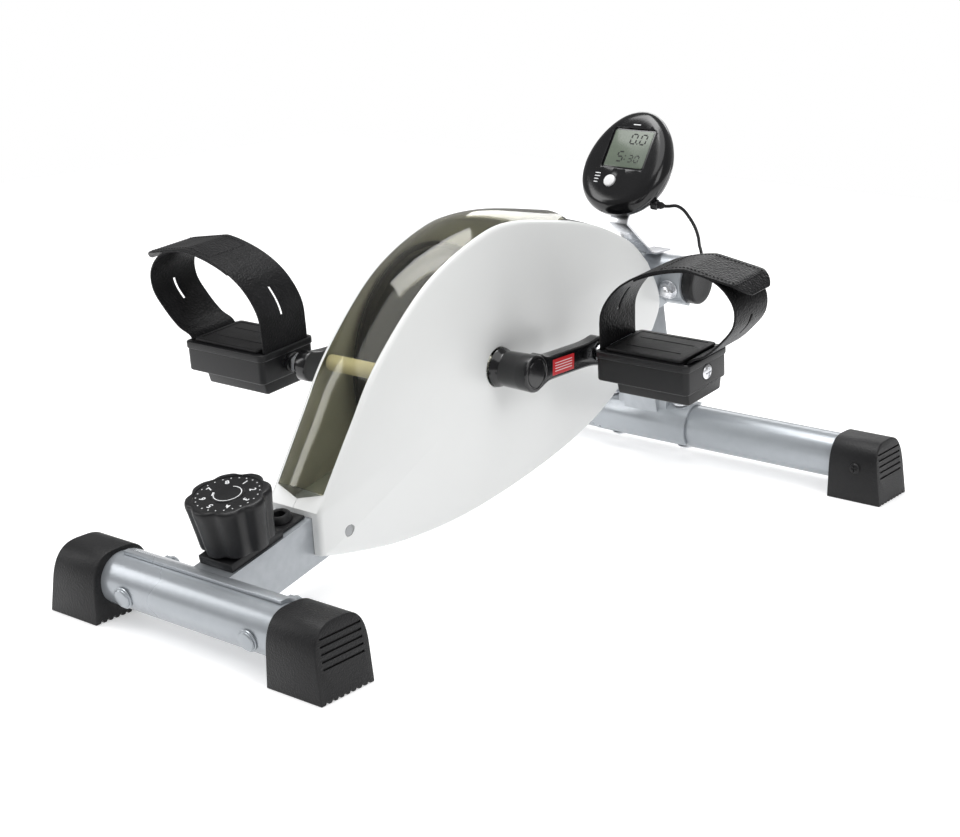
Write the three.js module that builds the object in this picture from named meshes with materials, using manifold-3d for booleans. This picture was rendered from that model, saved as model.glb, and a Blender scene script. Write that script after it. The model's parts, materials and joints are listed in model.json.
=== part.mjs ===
// Pedal exerciser: a steel spine on two foot bars carries a shelled drive with two strapped pedals.
// Millimetres, +Z up, X along the crank axle, -Y towards the user. Origin under the middle, on the floor.
import * as THREE from "three";
import { mergeVertices } from "three/addons/utils/BufferGeometryUtils.js";
import Module from "manifold-3d";

const wasm = await Module();
wasm.setup();

// ---- driving dimensions -------------------------------------------------------------------------
const gap = 0.3;                 // clearance between pieces that touch
const barSpacing = 559.4;        // front foot bar axis to rear foot bar axis
const frontBarLength = 259.5;    // over its end caps
const rearBarLength = 477;       // over its end caps
const barRadius = 19;
const barWall = 2;
const barAxisZ = 29;
const capLength = 48.7;
const capDepth = 2 * barRadius + 12.6;
const capTopZ = barAxisZ + barRadius + 3;
const capEndWall = 9;
const capLean = 8;               // how far the end face leans inward at its top
const plateThickness = 2.6;

const crankY = -9.5;
const crankZ = 143.6;
const crankLength = 84;
const crankThickness = 13;
const crankWidth = 19;
const crankBossRadius = 14;
const crankOuterX = 78.9;        // outer face of the crank boss
const axleRadius = 8;

const spineWidth = 34;
const spineHeight = 36;
const spineWall = 2.2;
const spineUnderCrank = 52;      // crank axis down to the spine's centre line
const handleY = 262.5 + barRadius;
const handleLength = spineWidth + 60;   // over its end caps
const handleCapLength = 10;

const shellSideX = spineWidth / 2 + 26.6;   // outer face beside the crank
const shellWall = 2.5;
const rimRound = 5;
const rimEndX = spineWidth / 2 + 8;         // half width of the rim at the ends of the body
const rimMidX = spineWidth / 2 + 14;        // and above the crank
const windowInset = 4.3;         // how far the window's edge lies inside the rim
const windowCrown = 6;

const pulleyRadius = 87;
const beltRadius = 82;
const beltThickness = 2;
const beltWidth = 5.4;
const smallPulleyRadius = 14;
const flywheelRadius = 50;
const flywheelThickness = 6.5;
const flywheelY = 124;
const flywheelZ = 163;

const pedalLength = 82.5;
const pedalWidth = 59.3;
const pedalHeight = 23.5;
const pedalInnerX = 92.8;
const pedalRise = 0.3;           // body centre above the spindle
const pedalTilt = 5.3;           // degrees, toe side up
const keelDepth = 9.5;           // of the weight under the pedal
const spindleRadius = 5;
const padThickness = 2.4;
const strapWidth = 48;
const strapThickness = 3.2;
const strapSlotDepth = 5.6;

const knobRadius = 30;          // at its top
const knobFootRadius = 25.5;
const knobHeight = 37;
const knobFlutes = 8;
const knobBaseHeight = 8.4;
const tongueThickness = 2.4;     // the base's thin rear end, under the wire grommet
const knobY = -243.5;

const displayHalfWidth = 40.5;
const displayHalfHeight = 48.3;
const displayFrontDepth = 13;
const displayBackDepth = 9;
const displayTilt = 34.3;        // degrees back from upright
const displayCentre = [-1.5, 225.4, 270.3];
const lensWidth = 38.2;
const lensHeight = 34.4;
const lensPlace = [1.5, 8.7];
const buttonRadius = 5.3;
const buttonPlace = [-5.5, -22.3];
const leadRadius = 1.4;

// ---- derived places -----------------------------------------------------------------------------
const frontBarY = -barSpacing / 2;
const rearBarY = barSpacing / 2;
const spineDirection = Math.atan2(crankZ - spineUnderCrank - barAxisZ, crankY - frontBarY);
const spineMidZ = (y) => barAxisZ + (y - frontBarY) * Math.tan(spineDirection);
const spineTopZ = (y) => spineMidZ(y) + spineHeight / 2 / Math.cos(spineDirection);
const handleZ = spineMidZ(handleY);
const uprightTopY = handleY - 33;
const uprightLean = Math.atan2(rearBarY - uprightTopY, spineMidZ(uprightTopY) - barAxisZ);
const uprightTurn = Math.PI / 2 + uprightLean;
const handleGripX = handleLength / 2 - handleCapLength;
const spineSideX = spineWidth / 2;
const pedalCentreX = pedalInnerX + pedalLength / 2;
const crankInnerX = crankOuterX - crankThickness;

// ---- materials ----------------------------------------------------------------------------------
function paint(color, roughness, metalness) {
  return new THREE.MeshStandardMaterial({ color, roughness, metalness });
}

const silverPaint = paint(0xaab0b8, 0.35, 0.6);
const shellWhite = paint(0xe6e7e6, 0.35, 0);
const smokedClear = paint(0x4a4a3c, 0.1, 0);
const blackPlastic = paint(0x1c1c1e, 0.55, 0);
const glossBlack = paint(0x101012, 0.25, 0);
const softBlack = paint(0x202022, 0.85, 0);
const steel = paint(0xc6c8cc, 0.25, 1);
const darkSteel = paint(0x55575b, 0.4, 1);
const rubberBlack = paint(0x161616, 0.8, 0);
const cream = paint(0xe8e0c4, 0.5, 0);
const lensGrey = paint(0x99a28f, 0.2, 0);
const buttonWhite = paint(0xf2f2f2, 0.4, 0);

// ---- geometry helpers ---------------------------------------------------------------------------
// A closed, outward-facing, indexed geometry of positions only.
function closed(geometry) {
  const bare = geometry.clone();
  for (const name of Object.keys(bare.attributes)) {
    if (name !== "position") bare.deleteAttribute(name);
  }
  const merged = mergeVertices(bare, 1e-4);
  const index = merged.index.array;
  const kept = [];
  for (let i = 0; i < index.length; i += 3) {
    const [a, b, c] = [index[i], index[i + 1], index[i + 2]];
    if (a !== b && b !== c && a !== c) kept.push(a, b, c);
  }
  if (volume(merged.attributes.position, kept) < 0) {
    for (let i = 0; i < kept.length; i += 3) [kept[i], kept[i + 1]] = [kept[i + 1], kept[i]];
  }
  merged.setIndex(kept);
  return merged;
}

function volume(position, index) {
  const [a, b, c] = [new THREE.Vector3(), new THREE.Vector3(), new THREE.Vector3()];
  let total = 0;
  for (let i = 0; i < index.length; i += 3) {
    a.fromBufferAttribute(position, index[i]);
    b.fromBufferAttribute(position, index[i + 1]);
    c.fromBufferAttribute(position, index[i + 2]);
    total += a.dot(b.cross(c));
  }
  return total;
}

function toSolid(geometry) {
  const shape = closed(geometry);
  return new wasm.Manifold(new wasm.Mesh({
    numProp: 3,
    vertProperties: new Float32Array(shape.attributes.position.array),
    triVerts: new Uint32Array(shape.index.array),
  }));
}

function toGeometry(solid) {
  const mesh = solid.getMesh();
  const geometry = new THREE.BufferGeometry();
  geometry.setAttribute("position", new THREE.BufferAttribute(mesh.vertProperties, 3));
  geometry.setIndex(new THREE.BufferAttribute(mesh.triVerts, 1));
  return geometry;
}

function join(first, ...others) {
  return toGeometry(others.reduce((sum, shape) => sum.add(toSolid(shape)), toSolid(first)));
}

function cut(first, ...others) {
  return toGeometry(others.reduce((sum, shape) => sum.subtract(toSolid(shape)), toSolid(first)));
}

function box(x0, x1, y0, y1, z0, z1) {
  const shape = new THREE.BoxGeometry(x1 - x0, y1 - y0, z1 - z0);
  return shape.translate((x0 + x1) / 2, (y0 + y1) / 2, (z0 + z1) / 2);
}

function rodX(radius, x0, x1, y = 0, z = 0, sides = 20) {
  const shape = new THREE.CylinderGeometry(radius, radius, x1 - x0, sides);
  return shape.rotateZ(Math.PI / 2).translate((x0 + x1) / 2, y, z);
}

function rodY(radius, y0, y1, x = 0, z = 0, sides = 14) {
  const shape = new THREE.CylinderGeometry(radius, radius, y1 - y0, sides);
  return shape.translate(x, (y0 + y1) / 2, z);
}

function rodZ(radius, z0, z1, x = 0, y = 0, sides = 20, topRadius = radius) {
  const shape = new THREE.CylinderGeometry(topRadius, radius, z1 - z0, sides);
  return shape.rotateX(Math.PI / 2).translate(x, y, (z0 + z1) / 2);
}

// Extrudes an outline drawn in (y, z) along X.
function prismX(points, x0, x1) {
  const outline = new THREE.Shape(points.map(([y, z]) => new THREE.Vector2(y, z)));
  const shape = new THREE.ExtrudeGeometry(outline, { depth: x1 - x0, bevelEnabled: false });
  return shape.applyMatrix4(new THREE.Matrix4().set(0, 0, 1, x0, 1, 0, 0, 0, 0, 1, 0, 0, 0, 0, 0, 1));
}

function arcPoints(radius, start, end, steps, y = 0, z = 0) {
  return Array.from({ length: steps + 1 }, (_, i) => {
    const angle = THREE.MathUtils.degToRad(start + (end - start) * i / steps);
    return [y + radius * Math.cos(angle), z + radius * Math.sin(angle)];
  });
}

// A curved plate that hugs a tube along X, drawn from one angle to another about the tube's axis.
function saddle(halfLength, start, end, y, z) {
  const inner = arcPoints(barRadius + gap, start, end, 11, y, z);
  const outer = arcPoints(barRadius + gap + plateThickness, end, start, 11, y, z);
  return prismX([...inner, ...outer], -halfLength, halfLength);
}

function part(name, geometry, material, parent) {
  const mesh = new THREE.Mesh(closed(geometry), material);
  mesh.name = name;
  parent.add(mesh);
  return mesh;
}

function groupAt(parent, x, y, z, turnX = 0) {
  const group = new THREE.Group();
  group.position.set(x, y, z);
  group.rotation.x = turnX;
  parent.add(group);
  return group;
}

const sides = [["left", -1], ["right", 1]];
const product = new THREE.Group();

// ---- foot bars and their caps -------------------------------------------------------------------
const boltShank = 3.6;
const boltHole = boltShank + gap;
const frontBoltX = 59;
const rearBoltX = 35;
const handleBoltX = spineWidth / 2 + 9;
const barSides = 28;

// A foot bar's or handle's tube, drilled for two bolts whose axis is turned about X.
function tube(length, y, z, boltX, turn) {
  const outer = rodX(barRadius, -length / 2, length / 2, y, z, barSides);
  const inner = rodX(barRadius - barWall, -length / 2 - 1, length / 2 + 1, y, z, barSides);
  const holes = [-boltX, boltX].map((x) => rodY(boltHole, -30, 30, x, 0, 8).rotateX(turn).translate(0, y, z));
  return cut(outer, inner, ...holes);
}

// A foot cap at the right-hand end of a bar, its inner face at x = 0.
function footCap(screwSide) {
  const half = capDepth / 2;
  const shoulder = 24;
  const crown = capTopZ - shoulder;
  const arch = arcPoints(1, 0, 180, 12).map(([c, s]) => {
    return [half * Math.sign(c) * Math.abs(c) ** 0.62, shoulder + crown * s ** 0.8];
  });
  let shape = prismX([[-half, 0], [half, 0], ...arch], 0, capLength);
  const slant = box(0, 40, -40, 40, -20, 90);
  slant.rotateY(-Math.atan2(capLean, capTopZ)).translate(capLength, 0, 0);
  shape = cut(shape, slant, rodX(barRadius + gap, -1, capLength - capEndWall, 0, barAxisZ, barSides));
  const notch = 1.6;
  const notchPitch = 8.4;
  const notches = [-2.5, -1.5, -0.5, 0.5, 1.5, 2.5].map((step) => {
    const y = step * notchPitch;
    return prismX([[y - notch, -0.5], [y + notch, -0.5], [y, 2.2]], -1, capLength + 1);
  });
  const ridges = [0, 1, 2, 3, 4].map((step) => {
    const z = 24 + step * 4.6;
    const x = capLength - capLean * z / capTopZ - 0.8;
    return box(x, x + 9, -half - 1, half + 1, z, z + 1.4);
  });
  const screwHole = rodY(2.1, screwSide * half - 8, screwSide * half + 8, 24, barAxisZ, 8);
  return cut(shape, ...notches, ...ridges, screwHole);
}

function capScrew(screwSide) {
  const half = capDepth / 2;
  const head = rodY(4.4, half + gap, half + gap + 2.2, 0, 0, 12);
  const shank = rodY(1.7, barRadius + 1.8, half + gap + 0.5, 0, 0, 6);
  const slot = box(-3, 3, half + gap + 1.2, half + 4, -0.5, 0.5);
  const crossSlot = box(-0.5, 0.5, half + gap + 1.2, half + 4, -3, 3);
  const shape = cut(join(head, shank), slot, crossSlot);
  return shape.rotateZ(screwSide < 0 ? Math.PI : 0).translate(24, 0, barAxisZ);
}

function footBar(name, length, y, boltX, turn, screwSide) {
  const tubeLength = length - 2 * (capEndWall + gap);
  part(`${name}_foot_bar`, tube(tubeLength, y, barAxisZ, boltX, turn), silverPaint, product);
  for (const [side, sign] of sides) {
    const place = groupAt(product, sign * (length / 2 - capLength), y, 0);
    if (sign < 0) place.rotation.z = Math.PI;
    part(`${name}_${side}_foot_cap`, footCap(screwSide * sign), rubberBlack, place);
    if (name === "rear") part(`${name}_${side}_cap_screw`, capScrew(screwSide * sign), steel, place);
  }
}

footBar("front", frontBarLength, frontBarY, frontBoltX, spineDirection, 1);
footBar("rear", rearBarLength, rearBarY, rearBoltX, uprightTurn, -1);

// A bolt through a bar, with a domed head at -Y and a washer and cap nut at +Y, turned about X.
function barBolt(x, y, z, turn) {
  const seat = barRadius + gap;
  const plateFace = barRadius + gap + plateThickness + gap;
  const tip = plateFace + 3;
  const dome = new THREE.LatheGeometry(
    [[0, -seat - 4], [3.5, -seat - 3.7], [6.8, -seat - 2.2], [8.2, -seat], [0, -seat]]
      .map(([r, h]) => new THREE.Vector2(r, h)), 14);
  const shank = rodY(boltShank, -seat - 0.5, tip, 0, 0, 8);
  const washer = rodY(8.6, plateFace, plateFace + 1.4);
  const nut = rodY(7.2, plateFace + 1.3, plateFace + 7, 0, 0, 6);
  const nutCap = rodY(4.9, plateFace + 6.9, plateFace + 10.5, 0, 0, 10);
  const shape = join(dome, shank, washer, nut, nutCap);
  return shape.rotateX(turn).translate(x, y, z);
}

// ---- spine and rear upright ---------------------------------------------------------------------
const spineEndY = handleY - barRadius - gap;

function spineBox(width, height, y0, y1) {
  const length = (y1 - y0) / Math.cos(spineDirection);
  const shape = box(-width / 2, width / 2, 0, length, -height / 2, height / 2);
  return shape.rotateX(spineDirection).translate(0, y0, spineMidZ(y0));
}

const leverPivot = { y: 92, z: spineMidZ(92) - 3 };
const leverPinRadius = 3;
const leverX = spineSideX + 1.6;
const grommetY = -203;
const grommetRadius = 9;
const bracketRadius = axleRadius + 11;
const bearingOuter = axleRadius + 7;
const flyHousing = 10;

// The two bolt holes through the plate on one side of a bar.
function boltBores(x, y, z, turn) {
  return [-x, x].map((place) => rodY(boltHole, 2, 40, place, 0, 8).rotateX(turn).translate(0, y, z));
}

function buildSpine() {
  const frontPlate = saddle(74.5, -38, 98, frontBarY, barAxisZ);
  const rearPlate = saddle(handleGripX - gap, 95, 262, handleY, handleZ);
  const outer = spineBox(spineWidth, spineHeight, frontBarY, handleY);
  const inner = spineBox(spineWidth - 2 * spineWall, spineHeight - 2 * spineWall, frontBarY - 9, handleY + 9);
  const frontBore = rodX(barRadius + gap, -90, 90, frontBarY, barAxisZ, barSides);
  const rearBore = rodX(barRadius + gap, -90, 90, handleY, handleZ, barSides);
  const beyond = box(-60, 60, handleY - 8, handleY + 60, handleZ - 60, handleZ + 60);
  const tubeShape = cut(outer, inner, frontBore, rearBore, beyond);
  const pin = rodX(leverPinRadius, spineSideX - 1, leverX + 8, leverPivot.y, leverPivot.z, 16);
  const wireHole = rodZ(4, -30, 30, 0, 0, 12).translate(0, grommetY, spineTopZ(grommetY));
  const boltHoles = [
    ...boltBores(frontBoltX, frontBarY, barAxisZ, spineDirection),
    ...boltBores(handleBoltX, handleY, handleZ, spineDirection + Math.PI),
  ];
  return cut(join(tubeShape, frontPlate, rearPlate, pin), wireHole, ...boltHoles);
}

const uprightDepth = 30;

// The upright stands square to the spine and ends in a saddle on the rear foot bar.
function uprightBox(grow) {
  const length = Math.hypot(rearBarY - uprightTopY, spineMidZ(uprightTopY) - barAxisZ);
  const half = uprightDepth / 2 + grow;
  const shape = box(-spineSideX - grow, spineSideX + grow, -half, half, 0, length);
  return shape.rotateX(uprightLean).translate(0, rearBarY, barAxisZ);
}

function buildUpright() {
  const plate = saddle(rearBoltX + 12, 66, 222, rearBarY, barAxisZ);
  const footHalf = rearBoltX - 10;
  const foot = box(-footHalf, footHalf, rearBarY - 16, rearBarY + 4, barAxisZ + 12, barAxisZ + barRadius + 5);
  const bore = rodX(barRadius + gap, -90, 90, rearBarY, barAxisZ, barSides);
  const holes = boltBores(rearBoltX, rearBarY, barAxisZ, uprightTurn);
  const spineSpace = spineBox(spineWidth + 9, spineHeight + 2 * gap, 150, 330);
  const handleSpace = rodX(barRadius + plateThickness + 2 * gap, -90, 90, handleY, handleZ, barSides);
  return cut(join(uprightBox(0), foot, plate), bore, spineSpace, handleSpace, ...holes);
}

part("spine_frame", buildSpine(), silverPaint, product);
part("rear_upright", buildUpright(), silverPaint, product);
for (const [side, sign] of sides) {
  const front = barBolt(sign * frontBoltX, frontBarY, barAxisZ, spineDirection);
  const rear = barBolt(sign * rearBoltX, rearBarY, barAxisZ, uprightTurn);
  const top = barBolt(sign * handleBoltX, handleY, handleZ, spineDirection + Math.PI);
  part(`front_${side}_bar_bolt`, front, steel, product);
  part(`rear_${side}_bar_bolt`, rear, steel, product);
  part(`handle_${side}_bolt`, top, steel, product);
}

// ---- carry handle at the rear -------------------------------------------------------------------
const handleTube = 2 * (handleGripX - gap);
const handleTurn = spineDirection + Math.PI;
part("carry_handle", tube(handleTube, handleY, handleZ, handleBoltX, handleTurn), silverPaint, product);
for (const [side, sign] of sides) {
  const place = groupAt(product, sign * handleGripX, handleY, handleZ);
  if (sign < 0) place.rotation.z = Math.PI;
  const lip = rodX(barRadius + 0.4, 0, handleCapLength, 0, 0, barSides);
  const stub = rodX(barRadius - barWall - gap, -6, 0.5, 0, 0, barSides);
  part(`handle_${side}_cap`, join(lip, stub), blackPlastic, place);
}

// ---- body outline -------------------------------------------------------------------------------
const v2 = (y, z) => new THREE.Vector2(y, z);

// Stretches of the side outline, in (y, z) about the crank axis, in order round the body.
const windowLine = new THREE.SplineCurve([
  v2(-173.5, -59.6), v2(-146, -17), v2(-117, 25), v2(-64.5, 72.4), v2(-5.5, 98.2), v2(41.5, 103),
  v2(119, 92)]);
const crestLine = new THREE.SplineCurve([v2(119, 92), v2(162, 81), v2(210, 61.5), v2(238, 40)]);
const noseLine = new THREE.SplineCurve([v2(238, 40), v2(256, 14), v2(259, -4), v2(249, -22)]);
const underLine = new THREE.SplineCurve([
  v2(249, -22), v2(189, -68), v2(114, -95), v2(-6, -113.4), v2(-90, -116), v2(-150, -109), v2(-179, -103)]);
const frontLine = new THREE.LineCurve(v2(-179, -103), v2(-181.5, -71));
const chinLine = new THREE.LineCurve(v2(-181.5, -71), v2(-173.5, -59.6));

const stretches = [
  [windowLine, 18], [crestLine, 6], [noseLine, 4], [underLine, 11], [frontLine, 1], [chinLine, 1]];
const outline = [];
for (const [line, steps] of stretches) {
  for (let i = 0; i < steps; i += 1) outline.push(line.getPoint(i / steps));
}
const windowEnd = stretches[0][1];
const crestEnd = windowEnd + stretches[1][1];

const inward = outline.map((point, i) => {
  const before = outline[(i + outline.length - 1) % outline.length];
  const after = outline[(i + 1) % outline.length];
  const along = after.clone().sub(before).normalize();
  return v2(along.y, -along.x);
});
const rimX = (y) => rimEndX + (rimMidX - rimEndX) * Math.exp(-((y / 130) ** 2));
const openEdge = (i) => (i <= crestEnd ? rimX(outline[i].x) - windowInset : gap / 2);

// ---- shells -------------------------------------------------------------------------------------
const hubHole = 15.5;

// One ring of points per level: each level gives, for outline point i, [x, y, z].
function ringSolid(levels) {
  const count = outline.length;
  const positions = [];
  for (const level of levels) {
    for (let i = 0; i < count; i += 1) positions.push(...level(i));
  }
  const index = [];
  for (let k = 0; k < levels.length; k += 1) {
    const next = (k + 1) % levels.length;
    for (let i = 0; i < count; i += 1) {
      const j = (i + 1) % count;
      const [a, b, c, d] = [k * count + i, k * count + j, next * count + j, next * count + i];
      index.push(a, b, c, a, c, d);
    }
  }
  const geometry = new THREE.BufferGeometry();
  geometry.setAttribute("position", new THREE.Float32BufferAttribute(positions, 3));
  geometry.setIndex(index);
  return geometry;
}

function edgePoint(i, inset, x) {
  return [x, outline[i].x + inward[i].x * inset, outline[i].y + inward[i].y * inset];
}

// The dome runs from just inside the rim (share 0) to the round hub hole (share 1).
function domePoint(i, share, drop) {
  const [, y0, z0] = edgePoint(i, rimRound + drop, 0);
  const direction = outline[i].clone().normalize();
  const y = y0 + (direction.x * hubHole - y0) * share;
  const z = z0 + (direction.y * hubHole - z0) * share;
  const rim = rimX(outline[i].x);
  return [rim + (shellSideX - rim) * (1 - (1 - share) ** 2) - drop, y, z];
}

function shellGeometry() {
  const rim = (i) => rimX(outline[i].x);
  const shares = [0, 0.15, 0.4, 0.7, 1];
  const outer = [
    (i) => edgePoint(i, 0, openEdge(i)),
    (i) => edgePoint(i, 0, rim(i) - rimRound * 0.75),
    (i) => edgePoint(i, rimRound * 0.25, rim(i) - rimRound * 0.25),
    ...shares.map((share) => (i) => domePoint(i, share, 0)),
  ];
  const inner = [
    ...shares.map((share) => (i) => domePoint(i, share, shellWall)).reverse(),
    (i) => edgePoint(i, shellWall, rim(i) - rimRound * 0.75),
    (i) => edgePoint(i, shellWall, openEdge(i)),
  ];
  return ringSolid([...outer, ...inner]);
}

const body = groupAt(product, 0, crankY, crankZ);
const inBody = (geometry) => geometry.translate(0, -crankY, -crankZ);
const spineSpace = () => inBody(spineBox(spineWidth + 2 * gap, spineHeight + 2 * gap, frontBarY, handleY));
const uprightSpace = () => inBody(uprightBox(gap));
const screwPlace = { y: -155.6, z: -88.9, radius: 4.2 };

for (const [side, sign] of sides) {
  const mirrored = shellGeometry().scale(sign, 1, 1);
  const [holeStart, holeEnd] = sign < 0 ? [-60, -10] : [10, 60];
  const screwHole = rodX(screwPlace.radius + gap, holeStart, holeEnd, screwPlace.y, screwPlace.z, 16);
  part(`${side}_shell`, cut(mirrored, spineSpace(), uprightSpace(), screwHole), shellWhite, body);
  const [low, high] = sign < 0 ? [-rimEndX - 4, -rimEndX + 3] : [rimEndX - 3, rimEndX + 4];
  const plug = rodX(screwPlace.radius, low, high, screwPlace.y, screwPlace.z, 16);
  part(`${side}_screw_plug`, plug, paint(0xb9bcbf, 0.5, 0), body);
}

// ---- crowned strips between the rims: smoked window in front, black trim behind ------------------
function crownedStrip(first, last, crown, thickness) {
  const across = 6;
  const rows = last - first + 1;
  const positions = [];
  for (const layer of [0, thickness]) {
    for (let i = first; i <= last; i += 1) {
      const half = openEdge(i) - gap;
      for (let j = 0; j <= across; j += 1) {
        const s = -1 + 2 * j / across;
        positions.push(...edgePoint(i, layer - crown * (1 - s * s), half * s));
      }
    }
  }
  const width = across + 1;
  const index = [];
  const quad = (a, b, c, d) => index.push(a, b, c, a, c, d);
  const layerSize = rows * width;
  for (let r = 0; r < rows - 1; r += 1) {
    for (let j = 0; j < across; j += 1) {
      const a = r * width + j;
      quad(a, a + 1, a + width + 1, a + width);
      quad(layerSize + a, layerSize + a + width, layerSize + a + width + 1, layerSize + a + 1);
    }
    const left = r * width;
    const right = left + across;
    quad(left, left + width, layerSize + left + width, layerSize + left);
    quad(right, layerSize + right, layerSize + right + width, right + width);
  }
  for (let j = 0; j < across; j += 1) {
    const end = (rows - 1) * width + j;
    quad(j, layerSize + j, layerSize + j + 1, j + 1);
    quad(end, end + 1, layerSize + end + 1, layerSize + end);
  }
  const geometry = new THREE.BufferGeometry();
  geometry.setAttribute("position", new THREE.Float32BufferAttribute(positions, 3));
  geometry.setIndex(index);
  return geometry;
}

const trimStart = box(-60, 60, 0, 119 + gap, -60, 160);
part("smoked_window", crownedStrip(0, windowEnd, windowCrown, 2.4), smokedClear, body);
const trimStrip = crownedStrip(windowEnd, crestEnd, 1.5, 2.4);
part("rear_trim", cut(trimStrip, trimStart, spineSpace()), blackPlastic, body);
const spacerHalf = rimX(-113) - shellWall - 3;
part("shell_spacer", rodX(6, -spacerHalf, spacerHalf, -113, 16, 16), cream, body);

// ---- drive inside the body ----------------------------------------------------------------------
const drive = groupAt(product, 0, crankY, crankZ);
const localSpineTop = (y) => spineTopZ(crankY + y) - crankZ;
const hangerHalf = spineSideX - 1;
const hangerFoot = [[-15, localSpineTop(-15) + gap], [15, localSpineTop(15) + gap], [10, 0], [-10, 0]];
const hanger = join(
  rodX(bracketRadius, -hangerHalf, hangerHalf),
  prismX(hangerFoot, -hangerHalf + 3, hangerHalf - 3));
part("bottom_bracket", cut(hanger, rodX(bearingOuter + gap, -40, 40)), silverPaint, drive);
for (const [side, sign] of sides) {
  const [low, high] = sign < 0 ? [-hangerHalf, -hangerHalf + 9] : [hangerHalf - 9, hangerHalf];
  const ring = cut(rodX(bearingOuter, low, high), rodX(axleRadius + gap, low - 1, high + 1));
  part(`${side}_crank_bearing`, ring, steel, drive);
}

const beltX0 = -spineSideX - gap - 1.4 - beltWidth;
const beltX1 = beltX0 + beltWidth;
const flangeX = beltX0 - gap - 1.8;
part("crank_axle", rodX(axleRadius, -crankInnerX - 6, crankInnerX + 6), steel, drive);
const pulleyHub = rodX(axleRadius + 7, flangeX, -hangerHalf - gap);
const pulleyRim = rodX(beltRadius - gap, flangeX + 0.5, beltX1, 0, 0, 36);
const pulleyFlange = rodX(pulleyRadius, flangeX, beltX0 - gap, 0, 0, 36);
const pulleyBore = rodX(axleRadius + gap, flangeX - 1, 0);
part("drive_pulley", cut(join(pulleyFlange, pulleyRim, pulleyHub), pulleyBore), glossBlack, drive);

const fly = { y: flywheelY - crankY, z: flywheelZ - crankZ };
const flyX0 = spineSideX + 1.8;
const shaftRadius = 5;

// A belt loop round two circles: the outline offset outward by `grow`.
function beltLoop(grow) {
  const span = Math.hypot(fly.y, fly.z);
  const heading = Math.atan2(fly.z, fly.y);
  const spread = Math.acos((beltRadius - smallPulleyRadius) / span);
  const [from, to] = [heading + spread, heading - spread].map((a) => THREE.MathUtils.radToDeg(a));
  return [
    ...arcPoints(beltRadius + grow, from, to + 360, 30),
    ...arcPoints(smallPulleyRadius + grow, to, from, 8, fly.y, fly.z),
  ];
}

const belt = cut(
  prismX(beltLoop(beltThickness), beltX0, beltX1),
  prismX(beltLoop(0), beltX0 - 1, beltX1 + 1));
part("drive_belt", belt, rubberBlack, drive);

const flyBlock = [
  [fly.y - 14, localSpineTop(fly.y - 14) + gap], [fly.y + 14, localSpineTop(fly.y + 14) + gap],
  [fly.y + 6, fly.z], [fly.y - 6, fly.z]];
const flyBlockShape = join(
  rodX(flyHousing, -hangerHalf, hangerHalf, fly.y, fly.z, 20),
  prismX(flyBlock, -hangerHalf + 3, hangerHalf - 3));
const flyBlockBore = rodX(shaftRadius + gap, -40, 40, fly.y, fly.z);
part("flywheel_bracket", cut(flyBlockShape, flyBlockBore), silverPaint, drive);
part("flywheel_shaft", join(
  rodX(shaftRadius, beltX0 - 2.5, flyX0 + flywheelThickness + 2, fly.y, fly.z),
  rodX(smallPulleyRadius - gap, beltX0, beltX1, fly.y, fly.z)), steel, drive);
part("flywheel", cut(
  rodX(flywheelRadius, flyX0, flyX0 + flywheelThickness, fly.y, fly.z, 36),
  rodX(shaftRadius + gap, 0, 60, fly.y, fly.z)), darkSteel, drive);

// The magnet lever swings on a pin at the spine's side and reaches round the flywheel's front.
const leverGap = 8;
const pivotAngle = THREE.MathUtils.radToDeg(
  Math.atan2(leverPivot.z - flywheelZ, leverPivot.y - flywheelY)) + 360;
const leverInner = arcPoints(flywheelRadius + leverGap, pivotAngle - 2, 158, 12, flywheelY, flywheelZ);
const leverOuter = arcPoints(flywheelRadius + leverGap + 9, 158, pivotAngle - 2, 12, flywheelY, flywheelZ);
const leverBoss = rodX(7, leverX, leverX + 6, leverPivot.y, leverPivot.z, 20);
const leverHole = rodX(leverPinRadius + gap, 0, 60, leverPivot.y, leverPivot.z, 20);
const lever = cut(join(prismX([...leverInner, ...leverOuter], leverX, leverX + 6), leverBoss), leverHole);
part("magnet_lever", lever, darkSteel, product);

// ---- resistance knob on the spine ---------------------------------------------------------------
const knob = groupAt(product, 0, knobY, spineTopZ(knobY), spineDirection);
const knobBaseHalf = spineWidth / 2 - 1.5;
const grommetAlong = (grommetY - knobY) / Math.cos(spineDirection);
const knobPlateStart = barRadius - 43;   // clear of the front bar's plate
const knobPlate = box(-knobBaseHalf, knobBaseHalf, knobPlateStart, 27, gap, knobBaseHeight - 2);
const tongueEnd = grommetAlong + grommetRadius + 2;
const knobTongue = box(-knobBaseHalf + 3, knobBaseHalf - 3, 20, tongueEnd, gap, tongueThickness);
const knobCollar = rodZ(knobBaseHalf + 2, knobBaseHeight - 3, knobBaseHeight);
const knobWireHole = rodZ(4, -1, knobBaseHeight, 0, grommetAlong, 12);
const knobBase = cut(join(knobPlate, knobTongue, knobCollar), knobWireHole);
part("knob_base", knobBase, blackPlastic, knob);
const fluteOutline = new THREE.Shape(Array.from({ length: knobFlutes * 5 }, (_, i) => {
  const angle = i / (knobFlutes * 5) * 2 * Math.PI;
  const radius = knobRadius - 1.5 + 1.5 * Math.cos(angle * knobFlutes);
  return v2(radius * Math.cos(angle), radius * Math.sin(angle));
}));
const skirtHeight = knobHeight - 3;
const knobSkirt = new THREE.ExtrudeGeometry(fluteOutline, { depth: skirtHeight, bevelEnabled: false });
const skirtPoints = knobSkirt.attributes.position;
for (let i = 0; i < skirtPoints.count; i += 1) {
  const rise = skirtPoints.getZ(i) / skirtHeight;
  const share = (knobFootRadius + (knobRadius - knobFootRadius) * rise) / knobRadius;
  skirtPoints.setXY(i, skirtPoints.getX(i) * share, skirtPoints.getY(i) * share);
}
knobSkirt.translate(0, 0, knobBaseHeight + gap);
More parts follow.
